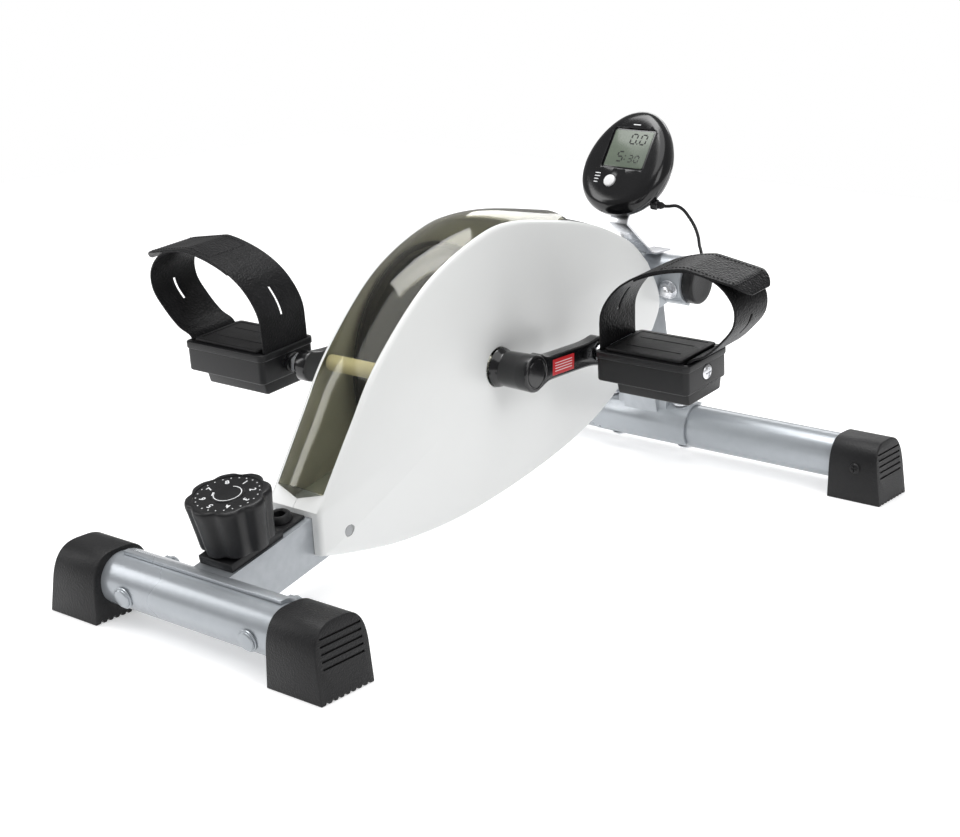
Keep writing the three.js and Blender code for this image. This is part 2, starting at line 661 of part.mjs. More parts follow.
const knobTop = rodZ(knobRadius - 2, knobHeight - 3.5, knobHeight, 0, 0, 24, knobRadius - 5);
knobTop.translate(0, 0, knobBaseHeight + gap);
part("resistance_knob", join(knobSkirt, knobTop), blackPlastic, knob);
const grommet = groupAt(knob, 0, grommetAlong, tongueThickness);
part("wire_grommet", cut(
  rodZ(grommetRadius, gap, 5.5, 0, 0, 20, grommetRadius - 2),
  rodZ(4.5, -1, 7, 0, 0, 12)), rubberBlack, grommet);
const cable = rodY(1.6, 0, 310, 0, 0, 8).rotateX(spineDirection).translate(0, -236, spineMidZ(-236) + 8);
part("tension_cable", cable, rubberBlack, product);

// ---- cranks and pedals --------------------------------------------------------------------------
function crankArm() {
  const waist = crankWidth / 2;
  const reach = crankLength;
  const edge = [
    ...arcPoints(crankBossRadius, 60, 300, 12),
    ...arcPoints(waist + 3, -60, 60, 6, reach, 0),
  ];
  const blade = prismX(edge, crankInnerX, crankOuterX - 1);
  const waistCuts = [-1, 1].map((s) => {
    const bow = [[16, s * 30], [18, s * (waist + 2.2)], [reach / 2, s * waist],
      [reach - 14, s * (waist + 0.6)], [reach - 12, s * 30]];
    return prismX(s > 0 ? bow : bow.reverse(), crankInnerX - 1, crankOuterX + 1);
  });
  const boss = rodX(crankBossRadius, crankInnerX - 17, crankOuterX);
  const flare = rodX(crankBossRadius - 0.8, shellSideX + 1, crankInnerX - 16.9);
  const bore = rodX(axleRadius + gap, 0, crankInnerX + 6 + gap);
  const eye = rodX(spindleRadius + 1 + gap, crankInnerX + 3, crankOuterX + 5, reach, 0, 20);
  return cut(join(cut(blade, ...waistCuts), boss, flare), bore, eye);
}

// The strap's middle line over the foot, in (x, z) about the spindle, x from the pedal's middle.
const pedalTop = pedalRise + pedalHeight / 2;
const strapEndZ = pedalTop - strapSlotDepth + gap;
const innerLegX = -pedalLength / 2 + 3.6;
const outerLegX = pedalLength / 2 - 5;
const strapLine = new THREE.CatmullRomCurve3([
  [innerLegX, strapEndZ], [innerLegX, 24], [-36, 41], [-25, 58], [-8, 70.5], [18, 80], [42, 83], [64, 77],
  [77, 62], [77, 47], [66, 32], [52, 19.5], [outerLegX + 4, pedalTop + 2], [outerLegX, strapEndZ]]
  .map(([x, z]) => new THREE.Vector3(x, 0, z)));
const strapTail = [[52, 84], [70, 79], [86, 70], [85, 67], [70, 74]];

function strapGeometry(grow = 0) {
  const steps = 30;
  const centre = strapLine.getSpacedPoints(steps);
  const side = (offset) => centre.map((point, i) => {
    const ahead = centre[Math.min(i + 1, steps)];
    const behind = centre[Math.max(i - 1, 0)];
    const along = ahead.clone().sub(behind).normalize();
    return v2(point.x - along.z * offset, point.z + along.x * offset);
  });
  const half = strapThickness / 2 + grow;
  const profile = new THREE.Shape([...side(half), ...side(-half).reverse()]);
  const width = strapWidth + 2 * grow;
  const band = new THREE.ExtrudeGeometry(profile, { depth: width, bevelEnabled: false });
  const tail = new THREE.ExtrudeGeometry(
    new THREE.Shape(strapTail.map(([x, z]) => v2(x, z))), { depth: width - 4, bevelEnabled: false });
  const loop = join(band, tail.translate(0, 0, 2));
  return loop.rotateX(Math.PI / 2).translate(0, width / 2, 0);
}

function pedalBody(bottom, sign) {
  const [halfX, halfY] = [pedalLength / 2, pedalWidth / 2];
  const plan = new THREE.Shape();
  const corner = 5;
  plan.moveTo(-halfX + corner, -halfY);
  plan.lineTo(halfX - corner, -halfY);
  plan.absarc(halfX - corner, -halfY + corner, corner, -Math.PI / 2, 0);
  plan.absarc(halfX - corner, halfY - corner, corner, 0, Math.PI / 2);
  plan.absarc(-halfX + corner, halfY - corner, corner, Math.PI / 2, Math.PI);
  plan.absarc(-halfX + corner, -halfY + corner, corner, Math.PI, Math.PI * 1.5);
  const blockOptions = { depth: pedalHeight, bevelEnabled: false, curveSegments: 3 };
  const block = new THREE.ExtrudeGeometry(plan, blockOptions);
  block.translate(0, 0, bottom);
  const keelOutline = [[-halfY + 4, bottom + 1], [-halfY + 7, bottom - keelDepth],
    [halfY - 7, bottom - keelDepth], [halfY - 4, bottom + 1]];
  const [innerInset, outerInset] = sign > 0 ? [17, 3] : [3, 17];
  const keel = prismX(keelOutline, -halfX + innerInset, halfX - outerInset);
  const slots = [innerLegX, outerLegX].map((x) => {
    const [half, low] = [strapThickness / 2 + gap, pedalTop - strapSlotDepth];
    return box(x - half, x + half, -strapWidth / 2 - gap, strapWidth / 2 + gap, low, low + 2);
  });
  const bore = rodX(spindleRadius + gap, -halfX - 1, halfX - 9, 0, 0, 20);
  const screwSeat = rodX(7.4, halfX - 1.2, halfX + 2, 0, 0, 20);
  return cut(join(block, keel), ...slots, strapGeometry(gap), bore, screwSeat);
}

function buildCrank(side, sign) {
  const arm = groupAt(drive, 0, 0, 0);
  if (sign < 0) arm.rotation.z = Math.PI;
  part(`${side}_crank_arm`, crankArm(), glossBlack, arm);
  const spindle = groupAt(arm, 0, crankLength, 0);
  const rod = join(
    rodX(spindleRadius, crankInnerX + 4, pedalInnerX + pedalLength - 11, 0, 0, 20),
    rodX(8, crankOuterX + gap, crankOuterX + 6, 0, 0, 6),
    rodX(6.4, crankOuterX + 5.9, pedalInnerX - 1.5, 0, 0, 20));
  part(`${side}_pedal_spindle`, rod, steel, spindle);
  const tilt = THREE.MathUtils.degToRad(pedalTilt) * sign;
  const pedal = groupAt(spindle, pedalCentreX, 0, 0, tilt);
  const bottom = pedalTop - pedalHeight;
  part(`${side}_pedal_body`, pedalBody(bottom, sign), softBlack, pedal);
  const padX0 = innerLegX + strapThickness / 2 + 2;
  const padX1 = outerLegX - strapThickness / 2 - 1;
  const padHalf = pedalWidth / 2 - 4;
  const pad = box(padX0, padX1, -padHalf, padHalf, pedalTop + gap, pedalTop + gap + padThickness);
  part(`${side}_pedal_pad`, pad, rubberBlack, pedal);
  part(`${side}_pedal_strap`, strapGeometry(), softBlack, pedal);
  const screwX = pedalLength / 2 - 1.2 + gap;
  part(`${side}_pedal_screw`, rodX(6.8, screwX, screwX + 2, 0, 0, 20), steel, pedal);
}

for (const [side, sign] of sides) buildCrank(side, sign);

// ---- display ------------------------------------------------------------------------------------
const tiltBack = -THREE.MathUtils.degToRad(displayTilt);
const display = groupAt(product, ...displayCentre, tiltBack);

// Egg-shaped case outline in (x, z), narrower at its top.
function eggShape(grow) {
  const shape = new THREE.Shape(Array.from({ length: 28 }, (_, i) => {
    const angle = i / 28 * 2 * Math.PI;
    const narrow = 1 - 0.12 * Math.sin(angle);
    const height = (displayHalfHeight + grow) * Math.sin(angle);
    return v2((displayHalfWidth + grow) * Math.cos(angle) * narrow, height);
  }));
  return shape;
}

// A slab of the egg outline from y0 to y1 (front is -Y), with a sloping edge of the given size in front.
function eggSlab(grow, y0, y1, slope) {
  const rounded = { bevelThickness: slope, bevelSize: slope, bevelOffset: -slope, bevelSegments: 2 };
  const bevel = { bevelEnabled: slope > 0, ...rounded };
  const depth = y1 - y0 - (slope > 0 ? 2 * slope : 0);
  const shape = new THREE.ExtrudeGeometry(eggShape(grow), { depth, ...bevel, steps: 1 });
  return shape.rotateX(Math.PI / 2).translate(0, y0 + depth + slope, 0);
}

const lensDepth = 3;
const frontSolid = cut(eggSlab(0, 0, displayFrontDepth + 8, 8), box(-60, 60, displayFrontDepth, 60, -80, 80));
const boardPocket = eggSlab(-4, 6, displayFrontDepth + 4, 0);
const [lensHalfX, lensHalfZ] = [lensWidth / 2 + 2, lensHeight / 2 + 2];
const [lensX, lensZ] = lensPlace;
const recess = box(lensX - lensHalfX, lensX + lensHalfX, -1, lensDepth, lensZ - lensHalfZ, lensZ + lensHalfZ);
const [buttonX, buttonZ] = buttonPlace;
const buttonHole = rodY(buttonRadius + gap, -2, 10, buttonX, buttonZ, 20);
part("display_front", cut(frontSolid, boardPocket, recess, buttonHole), glossBlack, display);
const lensBox = box(lensX - lensHalfX + gap, lensX + lensHalfX - gap, 1.2, lensDepth - gap,
  lensZ - lensHalfZ + gap, lensZ + lensHalfZ - gap);
part("display_lens", lensBox, lensGrey, display);
const buttonStem = rodY(buttonRadius, -1.4, 6.4, buttonX, buttonZ, 20);
const buttonFlange = rodY(buttonRadius + 1.6, 6.4, 7.6, buttonX, buttonZ, 20);
part("mode_button", join(buttonStem, buttonFlange), buttonWhite, display);
const board = box(-19, 19, 9.6, 11.2, -30, 26);
part("display_board", board, paint(0x1f5a34, 0.5, 0), display);
const backSolid = cut(
  eggSlab(0, displayFrontDepth - 6, displayFrontDepth + displayBackDepth, 5),
  box(-60, 60, -60, displayFrontDepth + gap, -80, 80));
part("display_back", backSolid, glossBlack, display);

// The bracket is one bent strip: up the back of the case, then down the slope to the carry handle.
const backY = displayFrontDepth + displayBackDepth + gap;
const caseUp = [Math.sin(-tiltBack), Math.cos(-tiltBack)];
const caseOut = [Math.cos(-tiltBack), -Math.sin(-tiltBack)];
const onCaseBack = (height) => v2(
  displayCentre[1] + caseOut[0] * (backY + 1) + caseUp[0] * height,
  displayCentre[2] + caseOut[1] * (backY + 1) + caseUp[1] * height);
const stripThickness = 2;
const handleTop = handleZ + barRadius + plateThickness + 2 * gap;
const stripBends = [
  onCaseBack(18),
  onCaseBack(-45),
  v2(displayCentre[1] - 7.6, displayCentre[2] - 54.8),
  v2(handleY - 22, handleTop + 2.8),
  v2(handleY - 15, handleTop + 1.3),
  v2(handleY + 8, handleTop + 1.3),
];

function stripGeometry(bends, width) {
  const side = (offset) => bends.map((point, i) => {
    const before = i > 0 ? point.clone().sub(bends[i - 1]).normalize() : null;
    const after = i < bends.length - 1 ? bends[i + 1].clone().sub(point).normalize() : null;
    const along = before && after ? before.clone().add(after).normalize() : before || after;
    const stretch = before && after ? 1 / along.dot(before) : 1;
    return [point.x - along.y * offset * stretch, point.y + along.x * offset * stretch];
  });
  const half = stripThickness / 2;
  return prismX([...side(half), ...side(-half).reverse()], -width / 2, width / 2);
}

part("display_bracket", stripGeometry(stripBends, 18), steel, product);

// ---- display lead -------------------------------------------------------------------------------
const plugAt = new THREE.Vector3(displayHalfWidth - 7.5, 227.1, 233.1);
const plugDirection = new THREE.Vector3(0.94, 0.3, -0.12).normalize();
const plugLength = 5.5;
// The lead leaves the case and comes down onto the end cap of the handle.
const handleEnd = [handleLength / 2, handleY, handleZ + barRadius];
const leadPoints = [
  [displayHalfWidth + 1.5, 230.2, 232.6], [displayHalfWidth + 7, 232.3, 233.2],
  [51.7, 236, 230.3], [54.6, 243, 222.3], [55.6, 250.5, 213.6], [54, 259.5, 203.5],
  ...[[3.5, -13.5, 16.5], [0.5, -6, 11], [-1.4, -1.2, 6.2], [-2.2, 0.1, 1.6]]
    .map((offset) => offset.map((value, i) => handleEnd[i] + value))];
const leadStart = plugAt.clone().addScaledVector(plugDirection, plugLength + gap);
const leadLine = new THREE.CatmullRomCurve3(
  [leadStart, ...leadPoints.map(([x, y, z]) => new THREE.Vector3(x, y, z))]);
const leadSection = new THREE.Shape().absarc(0, 0, leadRadius, 0, 2 * Math.PI);
const leadOptions = { steps: 22, curveSegments: 4, extrudePath: leadLine };
const leadTube = new THREE.ExtrudeGeometry(leadSection, leadOptions);
part("display_lead", leadTube, rubberBlack, product);
const plug = rodZ(3.1, 0, plugLength, 0, 0, 12);
plug.applyQuaternion(new THREE.Quaternion().setFromUnitVectors(new THREE.Vector3(0, 0, 1), plugDirection));
plug.translate(...plugAt);
part("lead_plug", plug, rubberBlack, product);

export default product;
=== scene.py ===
import json
import math

import bmesh
import bpy
from mathutils import Matrix, Vector

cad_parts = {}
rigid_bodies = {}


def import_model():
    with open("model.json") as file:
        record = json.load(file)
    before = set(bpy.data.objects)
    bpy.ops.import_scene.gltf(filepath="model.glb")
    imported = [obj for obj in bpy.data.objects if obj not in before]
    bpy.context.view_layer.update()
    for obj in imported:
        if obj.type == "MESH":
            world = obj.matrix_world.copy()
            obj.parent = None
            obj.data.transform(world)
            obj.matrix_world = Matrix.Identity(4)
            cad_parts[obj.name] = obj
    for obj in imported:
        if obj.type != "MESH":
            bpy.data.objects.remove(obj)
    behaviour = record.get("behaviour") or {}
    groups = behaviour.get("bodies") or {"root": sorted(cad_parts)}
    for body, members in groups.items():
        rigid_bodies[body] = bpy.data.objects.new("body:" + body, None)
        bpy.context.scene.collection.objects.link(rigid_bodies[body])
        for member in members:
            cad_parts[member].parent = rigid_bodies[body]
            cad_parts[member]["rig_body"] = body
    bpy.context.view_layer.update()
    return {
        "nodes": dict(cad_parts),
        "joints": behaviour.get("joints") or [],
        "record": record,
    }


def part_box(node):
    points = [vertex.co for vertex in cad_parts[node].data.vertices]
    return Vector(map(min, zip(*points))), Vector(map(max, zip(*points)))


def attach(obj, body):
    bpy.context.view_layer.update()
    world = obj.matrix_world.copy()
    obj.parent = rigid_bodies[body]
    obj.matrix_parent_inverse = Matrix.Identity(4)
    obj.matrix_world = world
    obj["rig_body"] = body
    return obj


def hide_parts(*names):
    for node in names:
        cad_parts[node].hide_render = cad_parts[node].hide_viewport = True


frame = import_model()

# Pedal exerciser. Metres, +Z up, X along the crank axle, -Y towards the user, as in the frame.
MM = 0.001
BODY = "frame"
SIDES = (("left", -1), ("right", 1))
JOINT_AT = {j["name"]: Vector(j.get("pos_m", (0, 0, 0))) for j in frame["joints"]}
CRANK_AXIS = JOINT_AT["crank_spin"]
KNOB_AT = JOINT_AT["knob_turn"]
CRANK_LENGTH = JOINT_AT["right_pedal_spin"].y - CRANK_AXIS.y
PEDAL_X = JOINT_AT["right_pedal_spin"].x
FINISH = {part["node"]: part["material_slot"] for part in frame["record"]["subparts"]}


def mm(*values):
    """Millimetres as metres."""
    return tuple(value * MM for value in values)


def turn_about(axis, angle):
    return Matrix.Rotation(angle, 4, axis)


def put_in_scene(made):
    bpy.context.scene.collection.objects.link(made)
    return made


def joint_axis(name):
    return Vector(next(j["axis"] for j in frame["joints"] if j["name"] == name))


KNOB_AXIS = joint_axis("knob_turn")
SPINE_ANGLE = math.atan2(-KNOB_AXIS.y, KNOB_AXIS.z)
PRESS_AXIS = joint_axis("button_press")
DISPLAY_ANGLE = -math.atan2(-PRESS_AXIS.z, PRESS_AXIS.y)


# ---- camera, light and floor --------------------------------------------------------------------
def make_camera():
    data = bpy.data.cameras.new("camera")
    data.lens = 67.0
    data.sensor_width = 36.0
    data.shift_x = 0.0102
    data.shift_y = -0.0018
    camera = bpy.data.objects.new("camera", data)
    camera.location = (0.8221, -1.0494, 0.4882)
    camera.rotation_euler = (math.radians(90 - 16.46), 0, math.radians(37.77))
    put_in_scene(camera)
    bpy.context.scene.camera = camera


def softbox(name, place, target, size, power):
    data = bpy.data.lights.new(name, "AREA")
    data.shape = "RECTANGLE"
    data.size, data.size_y = size
    data.energy = power
    light = bpy.data.objects.new(name, data)
    light.location = place
    light.rotation_euler = (Vector(target) - Vector(place)).to_track_quat("-Z", "Y").to_euler()
    put_in_scene(light)


def make_studio():
    softbox("top_softbox", (-0.4, 0.2, 1.7), (0, 0, 0.1), (1.1, 0.8), 15)
    softbox("left_softbox", (-1.5, -1.1, 1.0), (0, 0, 0.15), (0.6, 1.1), 8)
    softbox("right_softbox", (1.8, -0.5, 1.1), (0, 0, 0.15), (0.8, 1.1), 7)
    softbox("rear_softbox", (-0.6, 1.8, 0.9), (0, 0, 0.15), (1.4, 0.6), 6)
    data = bpy.data.lights.new("overhead_light", "SUN")
    data.energy = 1.5
    data.angle = math.radians(60)
    overhead = bpy.data.objects.new("overhead_light", data)
    overhead.rotation_euler = (math.radians(12), math.radians(6), 0)
    put_in_scene(overhead)
    world = bpy.data.worlds.new("studio")
    world.use_nodes = True
    tree = world.node_tree
    fill = tree.nodes["Background"]
    fill.inputs["Strength"].default_value = 0.3
    seen = add_node(tree, "ShaderNodeBackground", {"Strength": 1.0})
    rays = add_node(tree, "ShaderNodeLightPath")
    chosen = add_node(tree, "ShaderNodeMixShader")
    for backdrop in (fill, seen):
        backdrop.inputs["Color"].default_value = (1, 1, 1, 1)
    wire(rays, "Is Camera Ray", chosen, 0)
    wire(fill, 0, chosen, 1)
    wire(seen, 0, chosen, 2)
    tree.links.new(chosen.outputs[0], tree.nodes["World Output"].inputs["Surface"])
    bpy.context.scene.world = world
    bpy.context.scene.view_settings.view_transform = "Standard"


def make_floor():
    half = 1.7
    corners = [(-half, -half, 0), (half, -half, 0), (half, half, 0), (-half, half, 0)]
    floor = new_object("studio_floor", corners, [(0, 1, 2, 3)])
    floor.data.materials.append(MATERIALS["studio_white"])


# ---- shader node groups -------------------------------------------------------------------------
def add_node(tree, kind, values=(), **settings):
    node = tree.nodes.new(kind)
    for name, value in settings.items():
        setattr(node, name, value)
    for name, value in dict(values).items():
        node.inputs[name].default_value = value
    return node


def wire(start, output, end, entry):
    start.id_data.links.new(start.outputs[output], end.inputs[entry])


def new_group(name, inputs, outputs, kind="ShaderNodeTree"):
    tree = bpy.data.node_groups.new(name, kind)
    for socket, socket_type, value in inputs:
        made = tree.interface.new_socket(socket, in_out="INPUT", socket_type="NodeSocket" + socket_type)
        if value is not None:
            made.default_value = value
    for socket, socket_type in outputs:
        tree.interface.new_socket(socket, in_out="OUTPUT", socket_type="NodeSocket" + socket_type)
    return tree, tree.nodes.new("NodeGroupInput"), tree.nodes.new("NodeGroupOutput")


def uneven_tone_group():
    """A slow change between two colours and two roughnesses over the surface."""
    tree, given, result = new_group(
        "uneven_tone",
        [("Vector", "Vector", None), ("Scale", "Float", 12.0),
         ("Light", "Color", None), ("Dark", "Color", None),
         ("Smooth", "Float", 0.3), ("Rough", "Float", 0.4)],
        [("Color", "Color"), ("Roughness", "Float")])
    noise = add_node(tree, "ShaderNodeTexNoise", {"Detail": 5.0, "Roughness": 0.6})
    spread = add_node(tree, "ShaderNodeMapRange", {"From Min": 0.32, "From Max": 0.68})
    tone = add_node(tree, "ShaderNodeMix", data_type="RGBA")
    rough = add_node(tree, "ShaderNodeMapRange")
    wire(given, "Vector", noise, "Vector")
    wire(given, "Scale", noise, "Scale")
    wire(noise, "Fac", spread, "Value")
    wire(spread, "Result", tone, "Factor")
    wire(given, "Light", tone, "A")
    wire(given, "Dark", tone, "B")
    wire(spread, "Result", rough, "Value")
    wire(given, "Smooth", rough, "To Min")
    wire(given, "Rough", rough, "To Max")
    wire(tone, "Result", result, "Color")
    wire(rough, "Result", result, "Roughness")
    return tree


def grain_group():
    """Pebbled mould or leather grain, as a height from 0 to 1."""
    tree, given, result = new_group(
        "pebble_grain",
        [("Vector", "Vector", None), ("Scale", "Float", 900.0), ("Creases", "Float", 0.5)],
        [("Height", "Float")])
    cells = add_node(tree, "ShaderNodeTexVoronoi", feature="SMOOTH_F1")
    fine = add_node(tree, "ShaderNodeTexNoise", {"Detail": 3.0})
    finer = add_node(tree, "ShaderNodeMath", {1: 1.7}, operation="MULTIPLY")
    mixed = add_node(tree, "ShaderNodeMix", data_type="FLOAT")
    wire(given, "Vector", cells, "Vector")
    wire(given, "Scale", cells, "Scale")
    wire(given, "Vector", fine, "Vector")
    wire(given, "Scale", finer, 0)
    wire(finer, "Value", fine, "Scale")
    wire(given, "Creases", mixed, "Factor")
    wire(fine, "Fac", mixed, "A")
    wire(cells, "Distance", mixed, "B")
    wire(mixed, "Result", result, "Height")
    return tree


def edge_wear_and_highlight_group():
    """Lets a lighter colour through where the surface turns sharply outwards: partly rubbed wear, partly a
    painted highlight on the edges.
    """
    tree, given, result = new_group(
        "edge_wear_and_highlight",
        [("Vector", "Vector", None), ("Color", "Color", None),
         ("Worn And Lit", "Color", None), ("Amount", "Float", 0.5)],
        [("Color", "Color")])
    geometry = add_node(tree, "ShaderNodeNewGeometry")
    sharp = add_node(tree, "ShaderNodeMapRange", {"From Min": 0.52, "From Max": 0.62})
    patches = add_node(tree, "ShaderNodeTexNoise", {"Scale": 160.0, "Detail": 4.0})
    broken = add_node(tree, "ShaderNodeMath", operation="MULTIPLY")
    scaled = add_node(tree, "ShaderNodeMath", operation="MULTIPLY")
    worn_and_lit_color = add_node(tree, "ShaderNodeMix", data_type="RGBA")
    wire(geometry, "Pointiness", sharp, "Value")
    wire(given, "Vector", patches, "Vector")
    wire(sharp, "Result", broken, 0)
    wire(patches, "Fac", broken, 1)
    wire(broken, "Value", scaled, 0)
    wire(given, "Amount", scaled, 1)
    wire(scaled, "Value", worn_and_lit_color, "Factor")
    wire(given, "Color", worn_and_lit_color, "A")
    wire(given, "Worn And Lit", worn_and_lit_color, "B")
    wire(worn_and_lit_color, "Result", result, "Color")
    return tree


UNEVEN_TONE = uneven_tone_group()
GRAIN = grain_group()
EDGE_WEAR_AND_HIGHLIGHT = edge_wear_and_highlight_group()


# ---- materials ----------------------------------------------------------------------------------
def rgba(color):
    return (*color, 1.0)


def new_material(name):
    material = bpy.data.materials.new(name)
    material.use_nodes = True
    tree = material.node_tree
    return material, tree, tree.nodes["Principled BSDF"]


def finished_surface(name, light, dark, roughness, grain, tone_scale=14.0, metallic=0.0, coat=0.0,
                     worn_and_lit_color=None, wear_and_highlight=0.6, stretch=(1, 1, 1), specular=0.5):
    """A moulded, painted or metal finish. grain is (scale, creases, depth in metres)."""
    material, tree, shader = new_material(name)
    coordinates = add_node(tree, "ShaderNodeTexCoord")
    placed = add_node(tree, "ShaderNodeMapping", {"Scale": stretch})
    tone = add_node(tree, "ShaderNodeGroup", node_tree=UNEVEN_TONE)
    pebbles = add_node(tree, "ShaderNodeGroup", node_tree=GRAIN)
    bump = add_node(tree, "ShaderNodeBump", {"Strength": 1.0, "Distance": grain[2]})
    tone.inputs["Scale"].default_value = tone_scale
    tone.inputs["Light"].default_value = rgba(light)
    tone.inputs["Dark"].default_value = rgba(dark)
    tone.inputs["Smooth"].default_value, tone.inputs["Rough"].default_value = roughness
    pebbles.inputs["Scale"].default_value, pebbles.inputs["Creases"].default_value = grain[:2]
    wire(coordinates, "Object", placed, "Vector")
    wire(placed, "Vector", tone, "Vector")
    wire(placed, "Vector", pebbles, "Vector")
    wire(pebbles, "Height", bump, "Height")
    wire(bump, "Normal", shader, "Normal")
    wire(tone, "Roughness", shader, "Roughness")
    painted = tone
    # Lighter sharp edges: partly rubbed wear, partly a painted highlight.
    if worn_and_lit_color:
        rubbed_and_lit = add_node(tree, "ShaderNodeGroup", node_tree=EDGE_WEAR_AND_HIGHLIGHT)
        rubbed_and_lit.inputs["Worn And Lit"].default_value = rgba(worn_and_lit_color)
        rubbed_and_lit.inputs["Amount"].default_value = wear_and_highlight
        wire(coordinates, "Object", rubbed_and_lit, "Vector")
        wire(painted, "Color", rubbed_and_lit, "Color")
        painted = rubbed_and_lit
    wire(painted, "Color", shader, "Base Color")
    shader.inputs["Metallic"].default_value = metallic
    shader.inputs["Coat Weight"].default_value = coat
    shader.inputs["Coat Roughness"].default_value = 0.12
    shader.inputs["Specular IOR Level"].default_value = specular
    return material


def smoked_window_material():
    material, tree, shader = new_material("smoked_clear")
    coordinates = add_node(tree, "ShaderNodeTexCoord")
    tone = add_node(tree, "ShaderNodeGroup", node_tree=UNEVEN_TONE)
    tone.inputs["Scale"].default_value = 5.0
    tone.inputs["Light"].default_value = (0.87, 0.85, 0.69, 1)
    tone.inputs["Dark"].default_value = (0.81, 0.79, 0.62, 1)
    tone.inputs["Smooth"].default_value, tone.inputs["Rough"].default_value = 0.04, 0.08
    wire(coordinates, "Object", tone, "Vector")
    wire(tone, "Color", shader, "Base Color")
    wire(tone, "Roughness", shader, "Roughness")
    shader.inputs["Transmission Weight"].default_value = 1.0
    shader.inputs["IOR"].default_value = 1.4
    shader.inputs["Specular IOR Level"].default_value = 0.15
    return material


# Each finish: light and dark colour, smooth and rough, grain, then what differs from the defaults.
# A lighter edge colour lightens sharp edges: partly rubbed wear, partly a painted highlight.
FINISHES = {
    "silver_paint": ((0.35, 0.375, 0.4), (0.32, 0.345, 0.37), (0.26, 0.31), (2600, 0.2, 0.00003),
        {"tone_scale": 4.0, "metallic": 0.45, "coat": 0.25, "worn_and_lit_color": (0.6, 0.62, 0.65), "wear_and_highlight": 0.4}),
    "shell_white": ((0.8, 0.81, 0.8), (0.77, 0.78, 0.775), (0.27, 0.33), (420, 0.1, 0.00003),
        {"tone_scale": 5.0, "coat": 0.3}),
    "plug_grey": ((0.42, 0.43, 0.44), (0.36, 0.37, 0.38), (0.4, 0.5), (1500, 0.4, 0.00005), {}),
    "cap_black": ((0.007, 0.007, 0.0075), (0.013, 0.013, 0.014), (0.36, 0.5), (1000, 0.8, 0.0003),
        {"worn_and_lit_color": (0.06, 0.06, 0.062), "wear_and_highlight": 0.6, "specular": 0.25}),
    "plastic_black": ((0.006, 0.006, 0.0065), (0.011, 0.011, 0.012), (0.26, 0.38), (1500, 0.6, 0.00012),
        {"worn_and_lit_color": (0.05, 0.05, 0.052), "specular": 0.28}),
    "gloss_black": ((0.004, 0.004, 0.0045), (0.007, 0.007, 0.008), (0.14, 0.22), (700, 0.3, 0.00003),
        {"coat": 0.35, "specular": 0.35}),
    "rubber_black": ((0.007, 0.007, 0.0075), (0.013, 0.013, 0.014), (0.4, 0.55), (1500, 0.6, 0.0002),
        {"specular": 0.24}),
    "strap_black": ((0.007, 0.007, 0.0075), (0.015, 0.015, 0.016), (0.3, 0.42), (640, 0.9, 0.0005),
        {"tone_scale": 40.0, "worn_and_lit_color": (0.05, 0.05, 0.052), "wear_and_highlight": 0.6, "specular": 0.12}),
    "bright_steel": ((0.84, 0.85, 0.87), (0.72, 0.73, 0.76), (0.24, 0.34), (900, 0.3, 0.00001),
        {"tone_scale": 60.0, "metallic": 1.0, "stretch": (1, 1, 6)}),
    "dark_steel": ((0.2, 0.2, 0.21), (0.13, 0.13, 0.14), (0.35, 0.5), (900, 0.4, 0.00006),
        {"metallic": 0.9}),
    "cream_plastic": ((0.85, 0.8, 0.62), (0.78, 0.72, 0.52), (0.4, 0.5), (900, 0.4, 0.00005), {}),
    "lens_grey": ((0.13, 0.155, 0.12), (0.11, 0.135, 0.105), (0.2, 0.28), (3000, 0.1, 0.00001),
        {"tone_scale": 30.0, "coat": 0.2, "specular": 0.3}),
    "button_white": ((0.8, 0.8, 0.8), (0.75, 0.75, 0.75), (0.35, 0.45), (1800, 0.3, 0.00003), {}),
    "board_green": ((0.03, 0.2, 0.1), (0.02, 0.14, 0.07), (0.4, 0.5), (1200, 0.4, 0.00005), {}),
    "print_white": ((0.8, 0.81, 0.82), (0.72, 0.73, 0.74), (0.45, 0.55), (2500, 0.3, 0.00001), {}),
    "print_dark": ((0.012, 0.014, 0.012), (0.02, 0.022, 0.02), (0.3, 0.4), (2500, 0.3, 0.00001), {}),
    "sticker_red": ((0.55, 0.012, 0.018), (0.44, 0.01, 0.014), (0.3, 0.4), (1400, 0.3, 0.00002),
        {"coat": 0.3}),
    "studio_white": ((0.84, 0.84, 0.845), (0.83, 0.83, 0.835), (0.4, 0.46), (60, 0.1, 0.00001),
        {"tone_scale": 1.0}),
}
MATERIALS = {name: finished_surface(name, *look, **extra) for name, (*look, extra) in FINISHES.items()}
MATERIALS["smoked_clear"] = smoked_window_material()
MATERIALS["studio_white"].node_tree.nodes["Principled BSDF"].inputs["Emission Strength"].default_value = 0.4


# ---- mesh helpers -------------------------------------------------------------------------------
def new_object(name, points, faces):
    mesh = bpy.data.meshes.new(name)
    mesh.from_pydata([tuple(p) for p in points], [], faces)
    mesh.update()
    made = bpy.data.objects.new(name, mesh)
    put_in_scene(made)
    return made


def cleaned(made, merge=1e-6):
    """Merges doubled points and turns all faces outwards."""
    shape = bmesh.new()
    shape.from_mesh(made.data)
    bmesh.ops.remove_doubles(shape, verts=shape.verts, dist=merge)
    bmesh.ops.recalc_face_normals(shape, faces=shape.faces)
    shape.to_mesh(made.data)
    shape.free()
    return made


def applied(made):
    """Turns what the modifiers make into the object's own mesh."""
    result = made.evaluated_get(bpy.context.evaluated_depsgraph_get())
    mesh = bpy.data.meshes.new_from_object(result)
    made.modifiers.clear()
    made.data = mesh
    mesh.name = made.name
    return made


def combined(made, other, operation):
    modifier = made.modifiers.new(operation, "BOOLEAN")
    modifier.operation = operation
    modifier.solver = "EXACT"
    modifier.use_self = True
    modifier.object = other
    applied(made)
    bpy.data.objects.remove(other)
    return made


